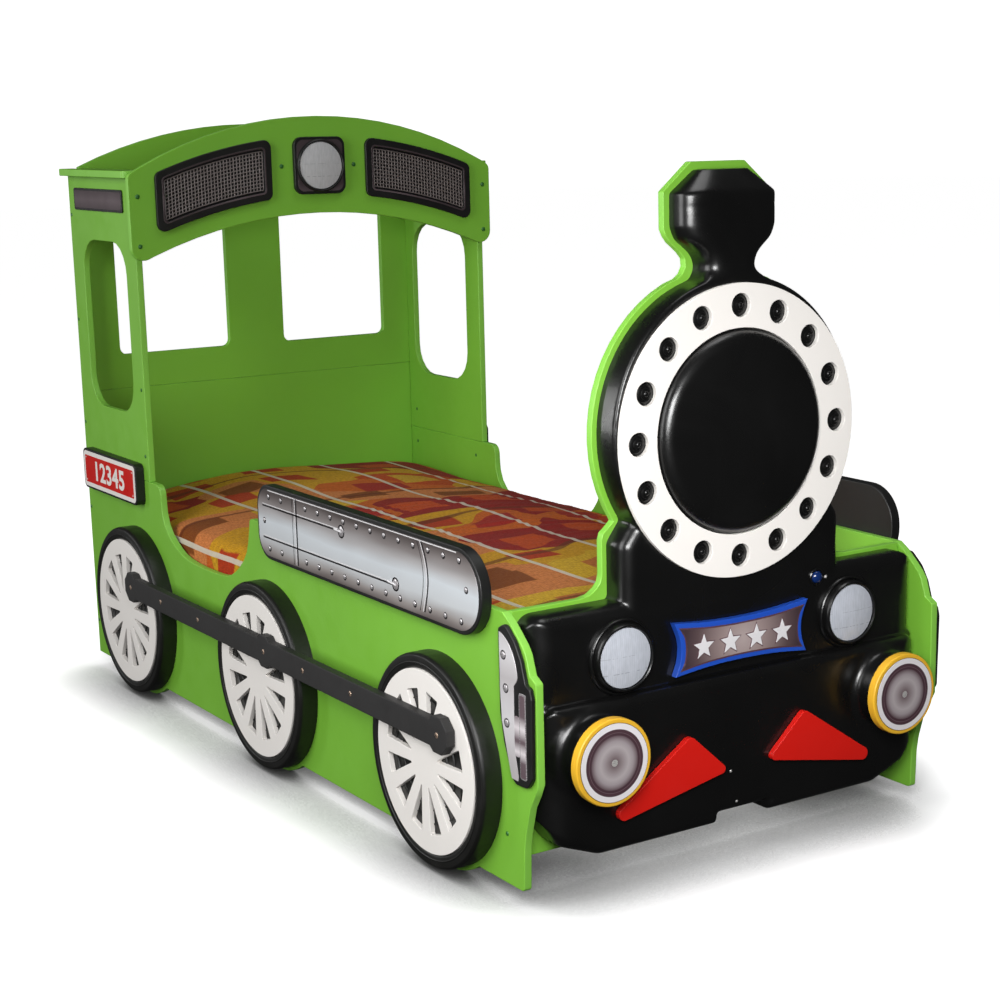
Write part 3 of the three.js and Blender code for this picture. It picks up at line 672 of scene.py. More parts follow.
def screw_profile(radius, height):
    """Half a low dome, from its rim in the surface to its top, then down into the material."""
    dome = [(radius * math.cos(a), height * math.sin(a)) for a in (0, 0.35, 0.7, 1.05, 1.35)]
    return [(0, height), *[(r, h) for r, h in reversed(dome)], (radius, -1), (0, -1)]


def turned_on(shape, axis, side, spot, surface, profile, segments=24, material=0):
    """Stands a turned part on a surface that faces side * axis."""
    placed = [(radius, surface + side * height) for radius, height in profile]
    shape.turned(axis, spot, placed, segments, material)


def board_caps():
    """Green plastic caps over the screws that join the boards."""
    arch = Shape()
    spots = [(468.6, 1213), (468.6, 1098.4), (98, 1273)]
    for x, z in [(side * u, v) for u, v in spots for side in (-1, 1)]:
        turned_on(arch, "y", -1, (x, z), ARCH_FACE_Y, screw_profile(5.5, 2.2))
    arch.done("arch_screw_caps", [CAP_GREEN], "green_lacquer")
    for name, side in SIDES:
        caps = Shape()
        spots = [(-1004, 255), (-1004, 400), (-922, 128), (-921, 500)]
        spots += [(1058, z) for z in (120, 420, 640, 900, 1160)]
        spots += [(672, z) for z in (600, 760)]
        for y, z in spots:
            turned_on(caps, "x", side, (y, z), side * PANEL_X, screw_profile(4.5, 1.8))
        caps.done(f"side_screw_caps_{name}", [CAP_GREEN], "green_lacquer")
        inner = Shape()
        for y, z in ((690, 500), (1000, 500), (1000, 430), (1000, 590)):
            turned_on(inner, "x", -side, (y, z), side * (PANEL_X - BOARD_THICKNESS), screw_profile(4.5, 1.8))
        inner.done(f"inner_screw_caps_{name}", [CAP_GREEN], "green_lacquer")
    back = Shape()
    for x in (-440, -150, 150, 440):
        for z in (120, 680, 760):
            turned_on(back, "y", 1, (x, z), BACK_FACE_Y, screw_profile(5, 1.8))
    back.done("back_screw_caps", [CAP_GREEN], "green_lacquer")


# ---- Moulded front ----


def chimney_outline():
    neck = [(110.5, 1184), (100, 1162), (80, 1146), (65, 1132), (58, 1114), (62, 1098), (75.5, 1082)]
    half = [(57, 1283), (110.5, 1243), *smooth(neck, 4), (95, 1050), (95, 960)]
    return mirrored(half)


def bumper_outline():
    half = rounded(
        [
            (0, 366),
            (422, 366),
            (452, 337, 10),
            (452, 168, 20),
            (408, 108, 20),
            (330, 78, 30),
            (62, 78, 3),
            (58, 98, 3),
            (0, 98),
        ]
    )
    return mirrored([point for point in half if point[0] > 0])


def front_dome_profile():
    """The smokebox door: a rounded rim, then a face that is very slightly full."""
    radius, curve, top = 186.5, 26, FACE_Y - 28
    rim = [(r, top + curve - v) for r, v in arc(radius - curve, 0, curve, 0, 90, 10)]
    face = [(r, top - 4.5 * (1 - (r / 160) ** 2)) for r in range(144, 0, -16)]
    return [(0, FACE_Y + 20), (radius, FACE_Y + 20), *rim, *face, (0, top - 4.5)]


def boss_profile():
    front = -1054.7
    neck = arc(64, 0, 6, 0, 90, 4)
    return [
        (0, -980),
        (84, -980),
        (82, BUMPER_FACE_Y - 1),
        (74, BUMPER_FACE_Y - 6),
        (71, BUMPER_FACE_Y - 13),
        (70, BUMPER_FACE_Y - 24),
        *[(r, front + 6 - v) for r, v in neck],
        (0, front),
    ]


def chimney_width(z):
    """Half the chimney's width at a height."""
    half = [point for point in chimney_outline() if point[0] > 0]
    for (u1, v1), (u2, v2) in zip(half, half[1:]):
        if v2 <= z <= v1 and v1 > v2:
            return u1 + (u2 - u1) * (v1 - z) / (v1 - v2)
    return half[0][0]


def rounded_front(face, edge, corner, x):
    """How far forward a face reaches where its upright corner is rounded in plan."""
    over = max(0, min(corner, abs(x) - edge + corner))
    return face + corner - math.sqrt(corner * corner - over * over)


def forward_limit(x, z):
    """How far forward (toward -Y) the moulding may reach at a place on its front."""
    if z > CHIMNEY_FOOT_Z:
        share = min(1, abs(x) / chimney_width(min(z, CHIMNEY_TOP_Z)))
        swell = (1 - share**3.4) ** (1 / 3.4)
        blend = max(0, min(1, (1112 - z) / 28))
        swell += (1 - swell) * blend * blend * (3 - 2 * blend)
        lean = 1 - 0.5 * max(0, z - 1244) / 40
        groove = 2.2 * max(0, 1 - abs(z - 1219) / 3.5) if share > 0.45 else 0
        return BOARD_FACE_Y - (56 * lean - groove) * swell
    if z > BOX_TOP_Z:
        return FACE_Y - 60
    if z > BOX_FOOT_Z:
        return rounded_front(BOX_FACE_Y, 455, 46, x)
    if math.hypot(abs(x) - BUFFER_X, z - BUFFER_Z) < 86:
        return BUMPER_FACE_Y - 1000
    return rounded_front(BUMPER_FACE_Y, 455, 60, x)


def modelled(mesh, voxel, rounds):
    """The moulding remade from small even faces, shaped by its forward limits and relaxed."""
    rough = link(bpy.data.objects.new("rough", mesh))
    remesh = rough.modifiers.new("even", "REMESH")
    remesh.mode = "VOXEL"
    remesh.voxel_size = voxel * MM
    even = evaluated_mesh(rough)
    for vertex in even.vertices:
        x, y, z = vertex.co / MM
        if y < BOARD_FACE_Y:
            vertex.co.y = max(y, forward_limit(x, z)) * MM
    bpy.data.objects.remove(rough)
    shaped = link(bpy.data.objects.new("shaped", even))
    relax = shaped.modifiers.new("relax", "SMOOTH")
    relax.factor = 0.5
    relax.iterations = rounds
    result = evaluated_mesh(shaped)
    bpy.data.objects.remove(shaped)
    return result


def front_shell():
    back = -860
    shape = Shape()
    shape.plate("y", [circle(0, SMOKEBOX_Z, 274, 144)], FACE_Y, back, 4, steps=2)
    shape.plate("y", [chimney_outline()], FACE_Y, back, 6, steps=2)
    pedestal = [(200, 700), (235, 660, 20), (256, 632, 20), (256, 400)]
    shape.plate("y", [mirrored(rounded(pedestal))], FACE_Y, back, 26, steps=5)
    shape.plate("y", [rectangle(-455, 455, 330, 528, 34)], BOX_FACE_Y, back, 24, steps=5)
    shape.plate("y", [bumper_outline()], BUMPER_FACE_Y, back, 18, steps=4)
    shape.turned("y", (0, RING_Z), front_dome_profile(), 128)
    for side in (-1, 1):
        shape.turned("y", (side * BUFFER_X, BUFFER_Z), boss_profile(), 72)
    mesh = bpy.data.meshes.new("front")
    shape.bm.to_mesh(mesh)
    shape.bm.free()
    mesh = modelled(mesh, 3.5, 8)
    made = bmesh.new()
    made.from_mesh(mesh)
    plane = (0, BOARD_FACE_Y * MM, 0)
    everything = made.verts[:] + made.edges[:] + made.faces[:]
    bmesh.ops.bisect_plane(made, geom=everything, plane_co=plane, plane_no=(0, 1, 0), clear_outer=True)
    bmesh.ops.holes_fill(made, edges=[e for e in made.edges if e.is_boundary], sides=0)
    made.to_mesh(mesh)
    made.free()
    looks = [BLACK_MOULDING]
    finished("front_shell_moulding", mesh, looks, replaces=["front_shell"], flat=False)


def bolt_spots():
    return circle(0, RING_Z, 229.5, 16)


def ring_bolts():
    """Stepped, domed bolt heads moulded in the ring's holes."""
    head = [(0, 11), (3.2, 10.6), (4.6, 9.4), (5.2, 8.2), (8, 8), (10.2, 7), (11, 5.4)]
    rim = [(14, 5.2), (16.6, 3.8), (18, 0), (18, -2), (0, -2)]
    profile = [(r, FACE_Y - h) for r, h in head + rim]
    shape = Shape()
    for x, z in bolt_spots():
        shape.turned("y", (x, z), profile, 32)
    shape.done("ring_bolts", [BLACK_MOULDING], "black_moulding")


def smokebox_ring():
    holes = [circle(x, z, 21.5, 40) for x, z in bolt_spots()]
    outlines = [circle(0, RING_Z, 269.4, 144), circle(0, RING_Z, 189, 120), *holes]
    ring = Shape().plate("y", outlines, FACE_Y - 10.3, FACE_Y - GAP, 1.0)
    ring.stand_for("smokebox_ring", [WHITE], "white_board")


def headlights():
    glass = lens_print("headlight_print", HEADLIGHT_X, HEADLIGHT_Z, "b9bdc6")
    base = BOX_FACE_Y - GAP
    bezel = [
        (71, 0),
        (71, 4),
        (70, 7),
        (68, 8.5),
        (66, 8),
        (65, 6.5),
        (64, 8),
        (63.5, 13),
        (62.5, 17),
        (60.5, 19.5),
        (58.5, 20),
        (57, 19),
        (56.4, 17),
        (56.4, 0),
    ]
    lens = [(0, 0), (56, 0), (56, 14), (55, 15.5), (45, 18), (30, 20), (15, 21), (0, 21.5)]
    for name, side in SIDES:
        spot = (side * HEADLIGHT_X, HEADLIGHT_Z)
        profile = [(r, base - h) for r, h in bezel]
        made = Shape().turned("y", spot, profile, 96, ring=True)
        made.stand_for(f"headlight_bezel_{name}", [BLACK_MOULDING], "black_moulding")
        made = Shape().turned("y", spot, [(r, base - h) for r, h in lens], 72)
        made.stand_for(f"headlight_lens_{name}", [glass], "lamp_lens")


def nameplate_outline(inset):
    i = inset
    top_corner, bottom_corner = (158 - i, 479.5 - i), (155 - i, 378.5 + i)
    top_line = [(-158 + i, 479.5 - i), (-80, 471.6 - i), (0, 469 - i), (80, 471.6 - i), top_corner]
    bottom_line = [bottom_corner, (80, 386.4 + i), (0, 389 + i), (-80, 386.4 + i), (-155 + i, 378.5 + i)]
    top, bottom = smooth(top_line), smooth(bottom_line)
    right = smooth([top_corner, (146 - i, 452), (142 - i, 429), (145 - i, 404), bottom_corner])
    left = [(-u, v) for u, v in reversed(right)]
    return top[:-1] + right[:-1] + bottom[:-1] + left[:-1]


def nameplate():
    board = Shape().plate("y", [nameplate_outline(0)], -1001, BOX_FACE_Y - GAP, 1.2)
    board.stand_for("nameplate_board", [BLUE], "blue_board")
    stops = [(0.0, rgb("b3a4a2")), (0.35, rgb("9a8886")), (0.8, rgb("5b4a4c")), (1.0, rgb("43353a"))]
    shade = radial_print("nameplate_print", 429, stops, 135, 0)
    face = Shape()
    face.plate("y", [nameplate_outline(9)], -1002.1, -1001.2, 0.3, 1)
    face.plate("y", [nameplate_outline(12)], -1002.5, -1002, 0.2, 0)
    for i in range(4):
        spot = ((i - 1.5) * 62, 427)
        face.plate("y", [star(*spot, 28, 12.5)], -1003.1, -1002.3, 0.3, 1)
        face.plate("y", [star(*spot, 24.5, 10.6)], -1003.9, -1003, 0.3, 2)
    face.stand_for("nameplate_face", [shade, PLUM, LIGHT_LINE], "mauve_plate")


def light_button():
    seat = BOX_FACE_Y
    dome = [(12 * math.cos(a), seat - 2 - 8 * math.sin(a)) for a in (0, 0.3, 0.6, 0.9, 1.2, 1.4)]
    profile = [(0, seat + 26), (9, seat + 26), (9, seat), (12, seat), *dome, (0, seat - 10)]
    made = Shape().turned("y", BUTTON_SPOT, profile, 40)
    made.stand_for("light_button", [BUTTON_BLUE], "blue_button", "push_button")
    collar = [(17, -1), (17, 1.5), (15.5, 3), (13.6, 3), (13, 2), (13, -1)]
    made = Shape().turned("y", BUTTON_SPOT, [(r, seat - h) for r, h in collar], 40, ring=True)
    turned_on(made, "y", -1, (216, 511), seat, screw_profile(3.2, 1.6), material=1)
    made.done("light_button_collar", [BLACK_MOULDING, STEEL], "black_moulding")


def buffers():
    stops = [
        (0.0, rgb("6a5a5e")),
        (0.12, rgb("7c6d70")),
        (0.42, rgb("b5acae")),
        (0.55, rgb("a49a9d")),
        (0.68, rgb("6d5c61")),
        (0.705, rgb("4a343b")),
        (0.755, rgb("4a343b")),
        (0.76, rgb("7d6a70")),
        (0.775, rgb("4e373e")),
        (0.85, rgb("523c43")),
        (0.856, rgb("ece8ea")),
        (1.0, rgb("ece8ea")),
    ]
    shade = radial_print("buffer_print", BUFFER_Z, stops, 71.5, BUFFER_X)
    edge = arc(77, 0, 3, 0, 90, 4)
    for name, side in SIDES:
        spot = (side * BUFFER_X, BUFFER_Z)
        profile = [(0, -1055), (80, -1055), *[(r, -1069 - v) for r, v in edge], (0, -1072)]
        made = Shape().turned("y", spot, profile, 112)
        made.stand_for(f"buffer_disc_{name}", [YELLOW], "yellow_board")
        line = [(0, -1072.2), (72.4, -1072.2), (72.4, -1072.6), (0, -1072.6)]
        made = Shape().turned("y", spot, line, 96, 1)
        made.turned("y", spot, [(0, -1072.5), (71.5, -1072.5), (71.3, -1073.3), (0, -1073.3)], 96, 0)
        turned_on(made, "y", -1, spot, -1073.0, [(0, 0.5), (6.5, 0.3), (7, -0.5), (0, -1)], 24, 2)
        made.stand_for(f"buffer_face_{name}", [shade, DARK_LINE, STEEL], "buffer_print")


def red_plates():
    outline = rounded([(136, 270, 14), (46, 186, 9), (346, 127, 13)])
    for name, side in SIDES:
        made = Shape().plate("y", [flip(outline, side)], -1021.5, BUMPER_FACE_Y - GAP, 1.3)
        made.stand_for(f"red_plate_{name}", [RED], "red_board")
    screws = Shape()
    for x, z in ((-34, 178), (-20, 116)):
        turned_on(screws, "y", -1, (x, z), BUMPER_FACE_Y, screw_profile(2.6, 1.4))
    screws.done("bumper_screws", [STEEL], "black_plastic")


# ---- Wheels and rods ----


def spoke_window(middle):
    """One wedge window: pointed at the hub, wide at the rim, its corners just rounded."""
    inner, outer = 50, 139.5
    point = arc(0, 0, inner, middle + 1.6, middle - 1.6, 1)
    rim = arc(0, 0, outer, middle - 8.6, middle + 8.6, 1)
    return rounded([(*point[0], 1.0), (*point[1], 1.0), (*rim[0], 3.0), (*rim[1], 3.0)], 20)


def wheel(end, name, side):
    hub_y = HUB_Y[end]
    centre = (hub_y, HUB_Z)
    back = PANEL_X + GAP
    front = back + WHEEL_WIDTH
    floor = front - 11
    wall = 7
    rolled = arc(TYRE_RADIUS - 10, front - 10, 10, 0, 62, 6)
    ridge = arc(TYRE_RADIUS - 17, front - 2.2, 2.2, 30, 150, 4)
    profile = [
        (0, floor - wall),
        (TYRE_RADIUS - wall, floor - wall),
        (TYRE_RADIUS - wall, back),
        (TYRE_RADIUS, back),
        *rolled,
        *ridge,
        (TYRE_INNER + 6, front - 1.6),
        (TYRE_INNER + 2.5, front - 2.2),
        (TYRE_INNER, front - 4.5),
        (TYRE_INNER, floor),
        (0, floor),
    ]
    tyre = Shape().turned("x", centre, [(r, side * w) for r, w in profile], 144)
    for radius in (66, 92, 118):
        top = floor + 2.4
        ring = [(radius, floor - 1), (radius + 1.2, top), (radius + 3.8, top), (radius + 5, floor - 1)]
        tyre.turned("x", centre, [(r, side * w) for r, w in ring], 96, ring=True)
    tyre.stand_for(f"tyre_{end}_{name}", [TYRE_BLACK], "black_plastic")
    windows = [spoke_window((i + 0.5) * 30) for i in range(12)]
    outlines = [circle(0, 0, TYRE_INNER - GAP, 144), *windows]
    placed = [[(hub_y + u, HUB_Z + v) for u, v in outline] for outline in outlines]
    disc = Shape().plate("x", placed, *span_x(side, floor + GAP, front), 0.9)
    disc.stand_for(f"spoke_disc_{end}_{name}", [WHITE], "white_board")


def coupling_rod(name, side):
    cranks = [y + CRANK_OFFSET for y in HUB_Y.values()]
    half, reach, waist = 25.5, 35, 14.5
    top = []
    for y in cranks:
        top += [(y + 26, half), (y + waist, reach), (y - waist, reach), (y - 26, half)]
    top = top[1:-1]
    rear = [(cranks[0] + reach, -waist, 3), (cranks[0] + reach, waist, 3)]
    front = [(cranks[2] - reach, waist, 3), (cranks[2] - reach, -waist, 3)]
    upper = [(u, v, 3) for u, v in top]
    lower = [(u, -v, 3) for u, v in reversed(top)]
    outline = [(c[0], ROD_Z + c[1], c[2]) for c in [*rear, *upper, *front, *lower]]
    back = PANEL_X + GAP + WHEEL_WIDTH + GAP
    rod = Shape().plate("x", [rounded(outline, 15)], *span_x(side, back, ROD_FACE_X), 1.6)
    rod.stand_for(f"coupling_rod_{name}", [ROD_BLACK], "rod_black")
    rod_screws(name, side, cranks)


def rod_screws(name, side, cranks):
    """Low domed screws, each with three grooves crossing in its head."""
    surface, groove_x = side * (ROD_FACE_X - 0.1), side * (ROD_FACE_X + 1.3)
    screws = Shape()
    for y in (*cranks, 481.5, 270.5, -250.5, -455.5):
        turned_on(screws, "x", side, (y, ROD_Z), surface, screw_profile(5.6, 1.6))
        for turn in range(3):
            angle = math.radians(60 * turn + 20)
            reach_y, reach_z = 4.2 * math.cos(angle), 4.2 * math.sin(angle)
            start = (groove_x, y - reach_y, ROD_Z - reach_z)
            end = (groove_x, y + reach_y, ROD_Z + reach_z)
            screws.wire([start, end], 0.6, 4, 1)
    screws.done(f"rod_screws_{name}", [COPPER_SCREW, DARK_LINE], "rod_black")


# ---- Side plates ----


def boiler_outline(inset):
    corners = [(-891.5, 477, 76), (9.5, 477, 52), (9.5, 637, 52), (-891.5, 637, 78)]
    toward = [(1, 1), (-1, 1), (-1, -1), (1, -1)]
    return rounded([(u + inset * a, v + inset * b, r - inset) for (u, v, r), (a, b) in zip(corners, toward)])


def boiler_plate(name, side, shade):
    plate = Shape().plate("x", [boiler_outline(0)], *span_x(side, PANEL_X + GAP, 498), 2.5, steps=3)
    plate.stand_for(f"boiler_plate_{name}", [BLACK_PAINT], "black_board")
    face = Shape().plate("x", [boiler_outline(8)], *span_x(side, 498.3, 499.2), 0.3)
    low, high = span_x(side, 499.1, 499.5)

    def strip(line, width, material):
        face.plate("x", [ribbon(line, width)], low, high, 0.1, material, 1)

    band = smooth([(-688, 626), (-703, 594), (-709, 563), (-705, 530), (-694, 494)])
    strip(band, 4, 1)
    strip([(y + 6, z) for y, z in band], 2, 2)
    strip([(y + 17, z) for y, z in band], 1.5, 1)
    strip([(-178, 627), (-178, 488)], 5, 1)
    strip([(-171, 627), (-171, 488)], 2, 2)
    strip([(-160, 627), (-160, 488)], 1.5, 1)
    strip([(-20, 592), (-373, 592)], 3.5, 1)
    strip([(-20, 595.5), (-373, 595.5)], 1.8, 2)
    strip([(-19, 524), (-586, 524)], 3.5, 1)
    strip([(-19, 527.5), (-586, 527.5)], 1.8, 2)
    strip([(-48, 626.5), (-812, 626.5)], 2.2, 2)
    face.stand_for(f"boiler_face_{name}", [shade, DARK_LINE, LIGHT_LINE], "printed_face")
    rivets = Shape()
    top_row = [-51, -108] + [-219 - 54.7 * i for i in range(12)]
    bottom_row = [-47, -104] + [-216 - 55.2 * i for i in range(12)]
    spots = [(y, 613) for y in top_row] + [(y, 502) for y in bottom_row] + [(-27, 560), (-843, 563)]
    surface = side * 499.0
    # Each rivet: a dark ring with the steel dome set a little up and toward the back on it, so a crescent of
    # painted shadow shows below the dome.
    for y, z in spots:
        turned_on(rivets, "x", side, (y, z), surface, [(0, 0.6), (6.6, 0.5), (6.8, -0.5), (0, -0.6)], 20, 1)
        turned_on(rivets, "x", side, (y + 0.8, z + 0.8), surface + side * 0.4, screw_profile(4.8, 2.0), 16)
    for y, z in ((-373, 592), (-586, 526)):
        turned_on(rivets, "x", side, (y, z), surface, [(0, 0.8), (13.5, 0.6), (14, -0.5), (0, -0.6)], 32, 1)
        turned_on(rivets, "x", side, (y, z), surface + side * 0.5, screw_profile(10.5, 1.6), 24)
        rivets.wire([(side * 501.4, y + 24, z + 2), (side * 501.4, y - 4, z)], 2.2, 8, 2)
    rivets.done(f"boiler_rivets_{name}", [RIVET_STEEL, DARK_LINE, LIGHT_LINE], "printed_face")


def corner_trim(name, side, silver, mauve):
    """The black corner piece with a riveted silver plate and an upright glazed bar."""
    base = rounded(
        [
            (-920.5, 509, 4),
            (-941, 521, 14),
            (-973, 494, 40),
            (-991, 465, 30),
            (-1000, 438, 20),
            (-1005, 424, 5),
            (-1019, 418, 6),
            (-1024, 400, 12),
            (-1021, 256, 14),
            (-1006, 236, 16),
            (-962, 234, 18),
            (-932, 303, 40),
            (-921, 358, 30),
        ],
        12,
    )
    trim = Shape().plate("x", [base], *span_x(side, PANEL_X + GAP, 484), 2.0, steps=3)
    shoulder = [(-925, 504), (-939, 499), (-956, 487), (-971, 467), (-980, 441), (-980, 427), (-969, 414)]
    foot = [(-968, 321), (-970, 289), (-979, 252), (-977, 243), (-957, 244)]
    rear = [(-944, 288), (-929, 343), (-925, 399)]
    low, high = span_x(side, 483.8, 484.9)
    trim.plate("x", [smooth(shoulder, 4) + foot + rear], low, high, 0.3, 1)
    trim.plate("x", [rectangle(-1006, -985, 250, 406, 5)], low, high, 0.3, 4)
    trim.plate("x", [rectangle(-1003.5, -987.5, 252.5, 403, 4)], *span_x(side, 484.7, 485.4), 0.2, 2)
    trim.plate("x", [rectangle(-985.5, -969.5, 288, 362, 5)], *span_x(side, 483.8, 485.2), 0.4, 2)
    for y, z in ((-938, 464), (-944, 405), (-945, 342)):
        turned_on(trim, "x", side, (y, z), side * 484.4, [(0, 1), (8.6, 0.8), (9, -0.5), (0, -1)], 28, 3)
        turned_on(trim, "x", side, (y, z), side * 484.8, screw_profile(6.8, 2.2), 24, 4)
    materials = [BLACK_PAINT, silver, mauve, DARK_LINE, RIVET_STEEL]
    trim.stand_for(f"corner_trim_{name}", materials, "black_board")


def number_plate(name, side):
    base = rectangle(686.5, 1031.5, 479, 580, 16)
    plate = Shape().plate("x", [base], *span_x(side, PANEL_X + GAP, 498), 2, steps=3)
    plate.plate("x", [rectangle(692, 1026, 484.5, 574.5, 12)], *span_x(side, 497.8, 498.5), 0.2, 1)
    plate.plate("x", [rectangle(702, 1016, 495, 564, 3)], *span_x(side, 498.4, 498.8), 0.1, 2)
    for y in (708, 1010):
        for z in (501, 558):
            turned_on(plate, "x", side, (y, z), side * 498.6, screw_profile(2.4, 0.4), 12, 1)
    plate.stand_for(f"number_plate_{name}", [BLACK_PAINT, WHITE, RED], "black_board")
    number_digits(name, side)


def number_digits(name, side):
    """Raised digits, to be read from left to right on either side."""
    digits = bpy.data.curves.new(f"digits_{name}", "FONT")
    digits.body = "12345"
    digits.size = 66
    digits.align_x = "CENTER"
    digits.extrude = 0.12
    digits.offset = 1.9
    digits.space_character = 1.06
    written = link(bpy.data.objects.new("written", digits))
    mesh = evaluated_mesh(written)
    bpy.data.objects.remove(written)
    made = Shape()
    made.bm.from_mesh(mesh)
    for vertex in made.bm.verts:
        u, v, w = vertex.co
        vertex.co = Vector((side * (498.85 + w), 859 + side * 1.18 * u, 507 + v)) * MM
    bmesh.ops.remove_doubles(made.bm, verts=made.bm.verts, dist=1e-6)
    bmesh.ops.recalc_face_normals(made.bm, faces=made.bm.faces)
    made.done(f"number_digits_{name}", [WHITE], "black_board")


def badge_plate(name, side, shade):
    board, face = rectangle(713.5, 1023.5, 1174, 1227, 6), rectangle(719, 1018, 1179.5, 1221.5, 4)
    badge = Shape().plate("x", [board], *span_x(side, PANEL_X + GAP, 479.2), 0.8)
    badge.plate("x", [face], *span_x(side, 479, 479.7), 0.2, 1)
    badge.stand_for(f"badge_plate_{name}", [BLACK_PAINT, shade], "mauve_plate")


# ---- Cab front ----


def grille_top(inset, x):
    return arch_height(1345 - inset, 1175, x)


def grille_bottom(inset, x):
    return arch_height(1202 + inset, 1190, x)


def grille_outline(inset):
    near, far = 128 + inset, 426 - inset
    radius = max(18 - inset * 0.5, 6)
    steps = 12
    middles = [near + (far - near) * i / steps for i in range(1, steps)]
    top = [(near, grille_top(inset, near), radius), *[(x, grille_top(inset, x)) for x in middles]]
    top.append((far, grille_top(inset, far), radius))
    bottom = [(far, grille_bottom(inset, far), radius)]
    bottom += [(x, grille_bottom(inset, x)) for x in reversed(middles)]
    bottom.append((near, grille_bottom(inset, near), radius))
    return rounded([*top, *bottom], 10)


def grille(name, side, mauve):
    frame_outlines = [flip(grille_outline(0), side), flip(grille_outline(20), side)]
    made = Shape().plate("y", frame_outlines, ARCH_FACE_Y - 10, ARCH_FACE_Y - GAP, 1.5)
    line = [flip(grille_outline(15.5), side), flip(grille_outline(19.4), side)]
    made.plate("y", line, ARCH_FACE_Y - 10.8, ARCH_FACE_Y - 9.8, 0.3, 1)
    made.stand_for(f"grille_frame_{name}", [BLACK_PAINT, mauve], "black_plastic")
    mesh = Shape().plate("y", [flip(grille_outline(20.3), side)], ARCH_FACE_Y - 4, ARCH_FACE_Y - GAP, 0.5)
    near, far, pitch, lift = 151, 403, 8.4, 0.9
    columns = round((far - near) / pitch)
    rows = 12
    surface = ARCH_FACE_Y - 6.2

    def crossing(i, j, over):
        x = near + (far - near) * i / columns
        share = (j + 0.7) / (rows + 0.4)
        low, high = grille_bottom(20, x), grille_top(20, x)
        return (side * x, surface + (lift if (i + j) % 2 == over else -lift), low + (high - low) * share)

    for i in range(columns + 1):
        mesh.wire([crossing(i, j, 0) for j in range(rows)], 1.35, 6, 1)
    for j in range(rows):
        mesh.wire([crossing(i, j, 1) for i in range(columns + 1)], 1.35, 6, 1)
    mesh.stand_for(f"grille_mesh_{name}", [DARK_LINE, WIRE_GREY], "grille_print")


def cab_lamp(mauve):
    x, z, half, lens = 0, 1273, 68.5, 57
    plate = rectangle(x - half, x + half, z - half, z + half, 22)
    inner = rectangle(x - half + 7, x + half - 7, z - half + 7, z + half - 7, 17)
    hole = circle(x, z, lens + GAP, 72)
    face = ARCH_FACE_Y - 12
    made = Shape().plate("y", [plate, hole], face, ARCH_FACE_Y - GAP, 1.6, steps=3)
    made.plate("y", [inner, circle(x, z, lens + 5, 72)], face - 0.9, face + 0.4, 0.3, 1)
    ring = [(64, 1), (64, -3), (62.6, -6), (60, -7.2), (58.2, -6.4), (57.4, -4), (57.4, 1)]
    made.turned("y", (x, z), [(r, face + h) for r, h in ring], 72, ring=True)
    made.stand_for("cab_lamp_housing", [BLACK_PAINT, mauve], "mauve_plate")
    glass = lens_print("cab_lamp_print", 0, z, "bdbec0")
    profile = [(0, 0.4), (57, 0.4), (57, 15), (56, 16.5), (45, 18.6), (30, 20.4), (15, 21.4), (0, 21.8)]
    made = Shape().turned("y", (x, z), [(r, ARCH_FACE_Y - h) for r, h in profile], 72)
    made.stand_for("cab_lamp_lens", [glass], "lamp_lens")


# ---- Bedding ----

CORE = (389, 894)  # half the part of the sheet that lies level, across and along
PLAN_RADIUS = 60
FOLD_RADIUS = 32
SHEET_HALF = (596, 1096)
SHEET_REACH = 200  # how far the sheet goes past its level part
HEM_Z = 335  # below this the hem is held while the sheet settles
COVER_LIMIT_X = 454.5  # the boards, less half the cloth and some air
COVER_LIMITS_Y = (-907.5, 1027.5)
FORM_REACH = 190
SETTLE_FRAMES = 24


def bed_height(x, y):
    """Height of the covered bed: crowned, fuller over the pillow and gently uneven."""
    crown = 34 * (1 - (x / 470) ** 2)
    pillow = 16 * math.exp(-(((y - 760) / 190) ** 2)) * math.exp(-((x / 330) ** 4))
    roll = 12 * math.exp(-(((y - 190) / 170) ** 2) - (((x - 120) / 240) ** 2))
    lumps = 7 * noise.noise(Vector((x / 210, y / 260, 1.7)))
    return MATTRESS_TOP + 6 + crown + pillow * 0.6 + roll * 0.7 + lumps


def laid(s, t, clear=0.0):
    """Where the point (s, t) of a flat sheet lies once it is spread over the mattress and tucked down."""
    held_s = max(-CORE[0], min(CORE[0], s))
    held_t = max(-CORE[1], min(CORE[1], t))
    out = Vector((s - held_s, t - held_t))
    reach = out.length
    direction = out.normalized() if reach > 0 else out
    level = PLAN_RADIUS - FOLD_RADIUS
    bend = FOLD_RADIUS * math.pi / 2
    if reach <= level:
        radial, drop = reach, 0
    elif reach <= level + bend:
        angle = (reach - level) / FOLD_RADIUS
        radial = level + FOLD_RADIUS * math.sin(angle)
        drop = FOLD_RADIUS * (1 - math.cos(angle))
    else:
        radial, drop = PLAN_RADIUS, FOLD_RADIUS + reach - level - bend
    x = held_s + direction.x * (radial + clear)
    y = BED_CENTRE_Y + held_t + direction.y * (radial + clear)
    height = bed_height(x, y) - drop + clear
    return Vector((x, y, height))


def even_steps(half, step):
    count = round(2 * half / step)
    return [-half + 2 * half * i / count for i in range(count + 1)]


